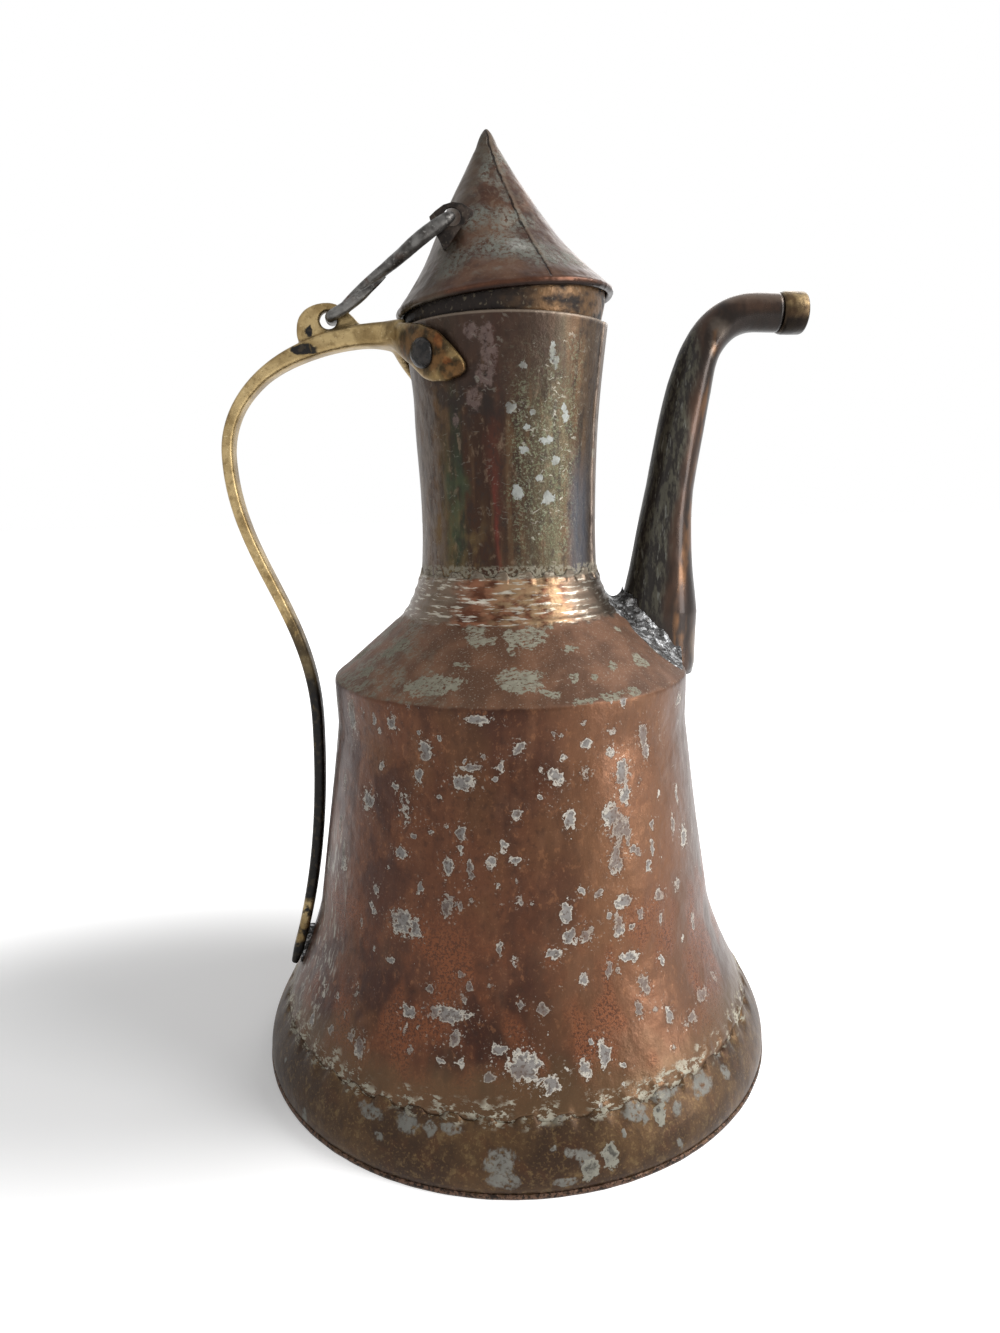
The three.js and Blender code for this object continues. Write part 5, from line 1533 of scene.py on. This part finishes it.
# %% The brass of the handle
coat = Finish("aged_brass")
ragged = coat.shifted(1.2, 1.2, seed=2, place=coat.shifted(4.0, 2.6, seed=1))
stain_marks = [
    ((-28.0, -26.0, 247.0), 9.0, 8.0), ((-33.0, -19.5, 250.0), 7.5, 6.5), ((-21.0, -32.0, 240.5), 6.5, 4.0),
]
warm_marks = [((-24.5, -29.5, 250.0), 2.4, 3.6), ((-22.5, -31.5, 243.0), 3.0, 1.6)]
chip_marks = [((-67.0, -4.7, 250.5), 4.6, 1.8), ((-65.2, -1.8, 256.0), 1.6, 2.4)]
stain = coat.step(coat.marks(stain_marks, ragged), 1.2, 0.7)
warm = coat.step(coat.marks(warm_marks, ragged), 1.1, 0.7)
chip = coat.step(coat.marks(chip_marks, ragged), 1.1, 0.8)
flaked = coat.patches(0.34, 0.62, 3.0, 4.0, (1, 1, 2.2), seed=7, rough=0.6)
lacquer = coat.step(coat.z + coat.waver(44, 8, 4.0, seed=8), 176, 132)
lacquer = lacquer * coat.step(flaked + coat.step(coat.z, 168, 128), 0.35, 0.75)
worn_end = coat.window(coat.z + coat.waver(7, 3, 3.0, seed=9), 40.5, 56, 2.0)
worn_end = worn_end * coat.patches(0.34, 0.5, 3, 3.0, seed=10)
black = chip.greatest(lacquer * (1 - worn_end * 0.85))
rubs = coat.patches(0.62, 0.7, 1.4, 4.0, (1, 1, 3.5), seed=12) * black
burnt = coat.mix(coat.patches(0.36, 0.64, 3, 4.0, seed=16), (24, 16, 12), (92, 64, 38))
lacquered = coat.mix(coat.patches(0.5, 0.66, 2.0, 4.0, seed=11), (19, 17, 16), (52, 45, 36))
brass = coat.layers(
    coat.mix(coat.patches(0.36, 0.64, 10, 4.0, seed=3), (128, 107, 71), (172, 150, 108)),
    (coat.patches(0.52, 0.7, 2.2, 4.0, seed=4) * 0.5, (102, 82, 50)),
    (coat.patches(0.6, 0.7, 0.7, 3.0, seed=5) * 0.4, (76, 59, 40)),
    (coat.patches(0.64, 0.74, 0.9, 2.0, seed=6) * 0.4, (216, 199, 157)),
    (stain * 0.9, burnt),
    (warm * 0.25, (144, 79, 38)),
    (black, lacquered),
    (rubs * 0.6, (96, 79, 50)),
)
brass_gloss = 0.42 + black * 0.1 + coat.waver(0.24, 4, 3.0, seed=13)
brass_relief = coat.noise(5, 3.0, seed=14) * 0.35 + coat.noise(1.1, 3.0, seed=15) * 0.1 - black * 0.03
brass_finish = coat.done(brass, 0.86 - black * 0.55, brass_gloss, brass_relief)

# %% [markdown]
# The ferrule is darker brass, and its lower side is painted dark as shade. The wire and the rivets are dark
# iron, and the wire has some rust low down. The solder is bright grey, and black dirt fills its cracks.

# %% The ferrule and the iron
coat = Finish("ferrule_brass")
ring_colour = coat.layers(
    coat.mix(coat.patches(0.38, 0.62, 4, 4.0, seed=1), (88, 70, 48), (148, 126, 90)),
    (coat.patches(0.56, 0.68, 1.0, 3.0, seed=2) * 0.5, (84, 66, 46)),
    # Painted shade: the lower half of the ferrule is darker and its underside near black.
    (coat.step(coat.z + coat.waver(5, 4, 3.0, seed=5), 267.5, 264) * 0.8, (44, 32, 23)),
    (coat.step(coat.z, 262.5, 260) * 0.9, (16, 13, 11)),
    (coat.step(coat.x, 97.6, 96.8) * 0.7, (48, 38, 28)),
)
ring_gloss = coat.noise(3, 3.0, seed=3) * 0.3 + 0.2
ferrule_finish = coat.done(ring_colour, 0.85, ring_gloss, coat.noise(2, 3.0, seed=4) * 0.12)

coat = Finish("forged_iron")
rust = coat.patches(0.54, 0.68, 5, 4.0, seed=3) * coat.step(coat.z, 284, 272)
iron_colour = coat.layers(
    coat.mix(coat.patches(0.38, 0.64, 5, 4.0, seed=1), (58, 55, 53), (112, 110, 107)),
    (coat.patches(0.58, 0.7, 1.3, 3.0, seed=2) * 0.5, (150, 148, 144)),
    (rust * 0.7, (86, 58, 44)),
)
iron_relief = coat.noise(2.6, 3.0, seed=4) * 0.12
iron_finish = coat.done(iron_colour, 0.6 - rust * 0.4, 0.36 + rust * 0.3, iron_relief)

coat = Finish("blackened_rivet")
rivet_colour = coat.mix(coat.patches(0.4, 0.64, 2.4, 4.0, seed=1), (14, 13, 13), (44, 40, 38))
rivet_gloss = coat.noise(2, 3.0, seed=2) * 0.3 + 0.18
rivet_finish = coat.done(rivet_colour, 0.3, rivet_gloss, coat.noise(2.0, 3.0, seed=3) * 0.5)

# %% The solder
coat = Finish("soft_solder")
where = coat.shifted(3.0, 3.0, seed=1)
fissure = coat.patches(0.54, 0.44, 1.8, 4.0, (2.2, 1, 1), seed=2, place=where, rough=0.6)
solder_colour = coat.layers(
    coat.mix(coat.patches(0.36, 0.62, 2.6, 4.0, seed=3), (70, 68, 66), (172, 173, 174)),
    (fissure * 0.85, (34, 31, 29)),
    (coat.patches(0.6, 0.7, 0.8, 3.0, seed=4) * 0.5, (216, 216, 214)),
)
solder_relief = coat.noise(1.5, 4.0, seed=5, place=where) * 0.8 - fissure * 0.5
solder_finish = coat.done(solder_colour, 0.6 - fissure * 0.5, 0.34 + fissure * 0.3, solder_relief)

# %% [markdown]
# ## The link
# The link is one bent iron wire: a hook through the ear, a shank, and a hook through the eye of the lid.
# Its path is a smooth curve through given points. Geometry Nodes turns the curve into a bar, with a radius
# that wanders by a noise, because a forged wire is never even.

# %% The link's path
EAR = np.array([-58.03, 0.0, 260.55])
EYE = np.array([-17.93, 0.0, 287.78])
HOOK_R = 2.5
reach = float(np.linalg.norm(EYE - EAR))
step_along = (EYE - EAR) / reach
step_up = np.array([-step_along[2], 0, step_along[0]])
hook = [
    (reach - HOOK_R * (1 - math.cos(t)), 0.0, EYE_Y + HOOK_R * math.sin(t))
    for t in np.linspace(-math.pi / 2, 0.25, 6)
]
# along the line from the ear to the eye, up from it, and sideways
route = [
    (22.0, -0.9, -7.6), (13.5, -1.0, -6.1), (5, -0.7, -4.9), (2.2, -0.2, -4.65), (0.5, 0, -4.05),
    (0, 0, -2.65),
    (0, 0, 2.65), (0.5, 0.1, 4.05), (2.2, 0.3, 4.65), (6, 1, 4.55), (12, 1.9, 2.8), (18, 2.2, -0.4),
    (24, 1.7, -4.8), (30, 1.0, -10.2), (reach - 15, 0.5, -15.2), (reach - 9.5, 0.2, -18.6), *hook,
]
route_points = [EAR + step_along * u + step_up * v + np.array([0, y, 0]) for u, v, y in route]

drawing = bpy.data.curves.new("link_path", "CURVE")
drawing.dimensions = "3D"
spline = drawing.splines.new("NURBS")
spline.points.add(len(route_points) - 1)
for point, place in zip(spline.points, route_points):
    point.co = (*[float(v) * MM for v in place], 1)
spline.order_u = 3
spline.use_endpoint_u = True
spline.resolution_u = 10
link_path = new_object("link_path", drawing)
print("link from ear to eye:", round(reach, 1), "mm")

# %% [markdown]
# Three trees of Geometry Nodes follow: the wire, the rivets and the crumbs. All have named inputs, all
# end in the same two nodes, and each is run once and kept as a plain mesh, so the helpers for that come
# first.


# %% Helpers for Geometry Nodes
def tree_with(name, **sockets):
    """A Geometry Nodes tree with named inputs of given kinds and one geometry output."""
    nodes = bpy.data.node_groups.new(name, "GeometryNodeTree")
    for label, kind in sockets.items():
        nodes.interface.new_socket(label, in_out="INPUT", socket_type="NodeSocket" + kind)
    nodes.interface.new_socket("Result", in_out="OUTPUT", socket_type="NodeSocketGeometry")
    tree = Tree(nodes)
    given = tree.node("NodeGroupInput")
    return tree, {label: tree.source(given, label) for label in sockets}


def close_tree(tree, geometry, finish):
    """Ends a tree: it makes instances real, sets the material and fills the output."""
    real = tree.node("GeometryNodeRealizeInstances", None, geometry)
    dressed = tree.node("GeometryNodeSetMaterial", None, Geometry=real, Material=finish)
    tree.node("NodeGroupOutput", None, dressed)


def grown(name, holder, tree, **values):
    """Runs a tree on an object, and makes its result a plain mesh object."""
    added = holder.modifiers.new(name, "NODES")
    added.node_group = tree.tree
    for item in tree.tree.interface.items_tree:
        if item.in_out == "INPUT" and item.name in values:
            added[item.identifier] = values[item.name]
    mesh = evaluated_mesh(holder)
    mesh.name = name
    mesh.shade_smooth()
    made = new_object(name, mesh)
    bpy.data.objects.remove(holder)
    print(f"{name}: {len(mesh.polygons)} faces")
    return made


# %% The wire as a tree
wire_tree, wire = tree_with(
    "forged_wire", Path="Geometry", Radius="Float", Unevenness="Float", Finish="Material",
)
even = wire_tree.node("GeometryNodeResampleCurve", {"mode": "COUNT"}, Curve=wire["Path"], Count=300)
along_path = wire_tree.node("GeometryNodeSplineParameter", output="Length")
share_path = wire_tree.node("GeometryNodeSplineParameter", output="Factor")
flat = {"noise_dimensions": "1D"}
grain = wire_tree.node("ShaderNodeTexNoise", flat, W=along_path, Scale=260.0, Detail=2.0)
taper = (
    (0.0, 0.08), (0.07, 0.42), (0.18, 0.75), (0.28, 0.71), (0.42, 0.80), (0.58, 0.74), (0.7, 0.84),
    (0.85, 0.92), (0.93, 0.84), (0.97, 0.62), (1.0, 0.3),
)
thick = wire_tree.node("ShaderNodeFloatCurve", {"stops": taper}, Value=share_path)
scale = wire["Radius"] * thick * 1.4 * (1 + (grain - 0.5) * wire["Unevenness"])
section = wire_tree.node("GeometryNodeCurvePrimitiveCircle", None, Resolution=18, Radius=1.0)
bar_mesh = wire_tree.node("GeometryNodeCurveToMesh", None, even, section, scale, Fill_Caps=True)
close_tree(wire_tree, bar_mesh, wire["Finish"])
link = grown("link_wire", link_path, wire_tree, Radius=1.75 * MM, Unevenness=0.05, Finish=iron_finish)

# %% [markdown]
# ## The rivets
# Two domed iron rivets hold the leaves to the neck. One head is modelled as a worn dome on a short shank,
# and a tree places it on two points, turned square to the wall. Each copy is scaled a little, as
# hand-made heads are.


# %% A rivet's head
def dome(radius, tall):
    """A rivet of given head radius: the shank, the worn rim, and the dome, along +Z."""
    outline = (
        (2.2, -5.4), (2.25, -0.7), (0.93 * radius, -0.6), (radius, 0), (0.97 * radius, 0.32 * tall),
        (0.84 * radius, 0.64 * tall), (0.6 * radius, 0.88 * tall), (0.3 * radius, tall),
    )
    wave = beating(81, 10, 20, 5)
    a = np.arange(36) * 2 * math.pi / 36
    rows = []
    for r, z in outline:
        worn = r * (1 + 0.035 * wave(a, z))
        rows.append(np.stack([worn * np.cos(a), worn * np.sin(a), z + 0.12 * wave(a + 2, r)], 1))
    return skin(rows)


RIVET_R, RIVET_Z, RIVET_TURN = 37.3, 246.4, math.radians(39.3)
rivet_shape = mesh_of("rivet_shape", [dome(4.8, 2.5)])
places = bpy.data.meshes.new("rivet_places")
places.from_pydata([
    (RIVET_R * MM * math.cos(a), RIVET_R * MM * math.sin(a), RIVET_Z * MM)
    for a in (math.pi - RIVET_TURN, math.pi + RIVET_TURN)
], [], [])
rivet_places = new_object("rivet_places", places)

# %% The rivets as a tree
rivet_tree, rivet_in = tree_with(
    "rivets_on_points", Points="Geometry", Head="Object", Lean="Float", Finish="Material",
)
head = rivet_tree.source(rivet_tree.node("GeometryNodeObjectInfo", None, rivet_in["Head"]), "Geometry")
at = rivet_tree.node("GeometryNodeInputPosition")
away = rivet_tree.node("ShaderNodeVectorMath", {"operation": "MULTIPLY"}, at, (1, 1, 0))
upward = rivet_tree.node("ShaderNodeCombineXYZ", None, Z=rivet_in["Lean"])
aim = rivet_tree.node("ShaderNodeVectorMath", {"operation": "ADD"}, away, upward)
square = rivet_tree.node("FunctionNodeAlignRotationToVector", {"axis": "Z"}, Vector=aim)
one_number = {"data_type": "FLOAT"}
varied = rivet_tree.node("FunctionNodeRandomValue", one_number, Min_001=0.96, Max_001=1.0, Seed=3, output=1)
set_rivets = rivet_tree.node(
    "GeometryNodeInstanceOnPoints", None,
    Points=rivet_in["Points"], Instance=head, Rotation=square, Scale=varied,
)
close_tree(rivet_tree, set_rivets, rivet_in["Finish"])
rivets = grown("neck_rivets", rivet_places, rivet_tree, Head=rivet_shape, Lean=-0.0025, Finish=rivet_finish)
bpy.data.objects.remove(rivet_shape)

# %% [markdown]
# ## Solder crumbs
# Drops and crumbs of solder stayed where they fell round the root of the spout. A tree scatters small
# rough balls over the crust, with a seed, and the crust and its crumbs become one piece.

# %% The crumbs on the solder
crumb_tree, crumb_in = tree_with(
    "solder_crumbs", Crust="Geometry", Density="Float", Size="Float", Seed="Int", Finish="Material",
)
scatter = crumb_tree.node(
    "GeometryNodeDistributePointsOnFaces", None,
    Mesh=crumb_in["Crust"], Density=crumb_in["Density"], Seed=crumb_in["Seed"],
)
ball = crumb_tree.node("GeometryNodeMeshIcoSphere", None, Radius=crumb_in["Size"], Subdivisions=2)
smallest, largest = (0.35, 0.35, 0.25), (1.5, 1.5, 0.9)
size = crumb_tree.node("FunctionNodeRandomValue", {"data_type": "FLOAT_VECTOR"}, smallest, largest, Seed=5)
crumbs = crumb_tree.node(
    "GeometryNodeInstanceOnPoints", None,
    Points=scatter, Instance=ball, Rotation=crumb_tree.source(scatter, "Rotation"), Scale=size,
)
both = crumb_tree.node("GeometryNodeJoinGeometry", None, crumbs)
crumb_tree.tree.links.new(crumb_in["Crust"].socket, both.socket.node.inputs[0])
close_tree(crumb_tree, both, crumb_in["Finish"])
solder = grown(
    "spout_solder_crust", solder, crumb_tree,
    Density=26000.0, Size=0.5 * MM, Seed=4, Finish=solder_finish,
)

# %% [markdown]
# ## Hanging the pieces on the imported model
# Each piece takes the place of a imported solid, moves with its body, and gets its finish.

# %% Dress the ewer
for piece, nodes, moves_with, finish, slot in (
    (base, ["base_plate"], "ewer", olive_copper, "olive_copper"),
    (foot_band, ["foot_band"], "ewer", olive_copper, "olive_copper"),
    (body, ["body_shell"], "ewer", copper, "copper"),
    (neck, ["neck_tube"], "ewer", neck_finish, "dark_copper"),
    (spout, ["spout"], "ewer", spout_finish, "dark_copper"),
    (ferrule, ["spout_ferrule"], "ewer", ferrule_finish, "brass"),
    (solder, ["spout_solder"], "ewer", solder_finish, "solder"),
    (handle, ["handle"], "ewer", brass_finish, "brass"),
    (wedge, ["handle_solder"], "ewer", solder_finish, "solder"),
    (rivets, ["neck_rivet_front", "neck_rivet_back"], "ewer", rivet_finish, "iron"),
    (cone, ["lid_cone"], "lid", lid_finish, "dark_copper"),
    (lid_collar, ["lid_collar"], "lid", collar_finish, "dark_copper"),
    (lid_eye, ["lid_eye"], "lid", tab_finish, "dark_copper"),
    (link, ["lid_link"], "link", iron_finish, "iron"),
):
    dress(piece, nodes, moves_with, finish)

# %% [markdown]
# ## The studio
# The ewer stands on a pale floor. A tall strip of soft light to the right gives the long highlights of
# the bell and the neck, and a second light above it throws the shadow to the left. Weak lights fill from
# the left and from behind. The camera and the metal see a white surround. The floor adds white of its own
# for the camera, and less of it where the shadow falls, so the shadow stays grey and the rest stays
# white.


# %% Floor and world
def seen_ray(tree):
    """1 for a ray from the camera or one that metal or glass sends on, and 0 for any other."""
    path = tree.node("ShaderNodeLightPath")
    glossy, through = (tree.source(path, name) for name in ("Is Glossy Ray", "Is Transmission Ray"))
    return path.greatest(glossy).greatest(through)


FLOOR_HALF = 6
corners = [(x * FLOOR_HALF, y * FLOOR_HALF, 0) for x, y in ((-1, -1), (1, -1), (1, 1), (-1, 1))]
floor_mesh = bpy.data.meshes.new("floor")
floor_mesh.from_pydata(corners, [], [(0, 1, 2, 3)])
floor = new_object("floor", floor_mesh)
pale = Finish("pale_floor")
chalky = pale.node("ShaderNodeBsdfDiffuse", None, Color=paint(228, 228, 228))
from_shadow = pale.long(pale.node("ShaderNodeCombineXYZ", None, (pale.x + 140) * 0.6, pale.y - 12))
whiteness = 0.25 + pale.step(from_shadow, 50, 150) * 0.69
glow = pale.node("ShaderNodeEmission", None, Color=whiteness, Strength=seen_ray(pale))
pale.node("ShaderNodeOutputMaterial", None, pale.node("ShaderNodeAddShader", None, chalky, glow))
floor_mesh.materials.append(pale.material)

world = bpy.data.worlds.new("white_surround")
world.use_nodes = True
world.node_tree.nodes.clear()
bpy.context.scene.world = world
sky = Tree(world.node_tree)
white = sky.node("ShaderNodeBackground", None, (1, 1, 1, 1), seen_ray(sky) * 0.7 + 0.3)
sky.node("ShaderNodeOutputWorld", None, white)
bpy.context.scene.view_settings.view_transform = "Standard"


# %% The lights
def soft_light(name, place, target, wide, tall, watts):
    """A rectangle of light, in metres and watts, that faces a target."""
    lamp = bpy.data.lights.new(name, "AREA")
    lamp.shape = "RECTANGLE"
    lamp.size, lamp.size_y, lamp.energy = wide, tall, watts
    holder = new_object(name, lamp)
    holder.location = place
    holder.rotation_euler = (Vector(target) - Vector(place)).to_track_quat("-Z", "Y").to_euler()
    print(f"{name} light: {watts} W")


soft_light("key", (0.92, -0.53, 0.52), (0, 0, 0.16), 0.3, 1.02, 11.0)
soft_light("side", (0.95, -0.06, 0.95), (0, 0, 0.15), 0.45, 0.45, 5.8)
soft_light("fill", (-0.9, -0.9, 0.7), (0, 0, 0.15), 0.9, 0.9, 1.4)
soft_light("back", (0.5, 1.0, 0.8), (0, 0, 0.15), 0.7, 0.7, 3.0)
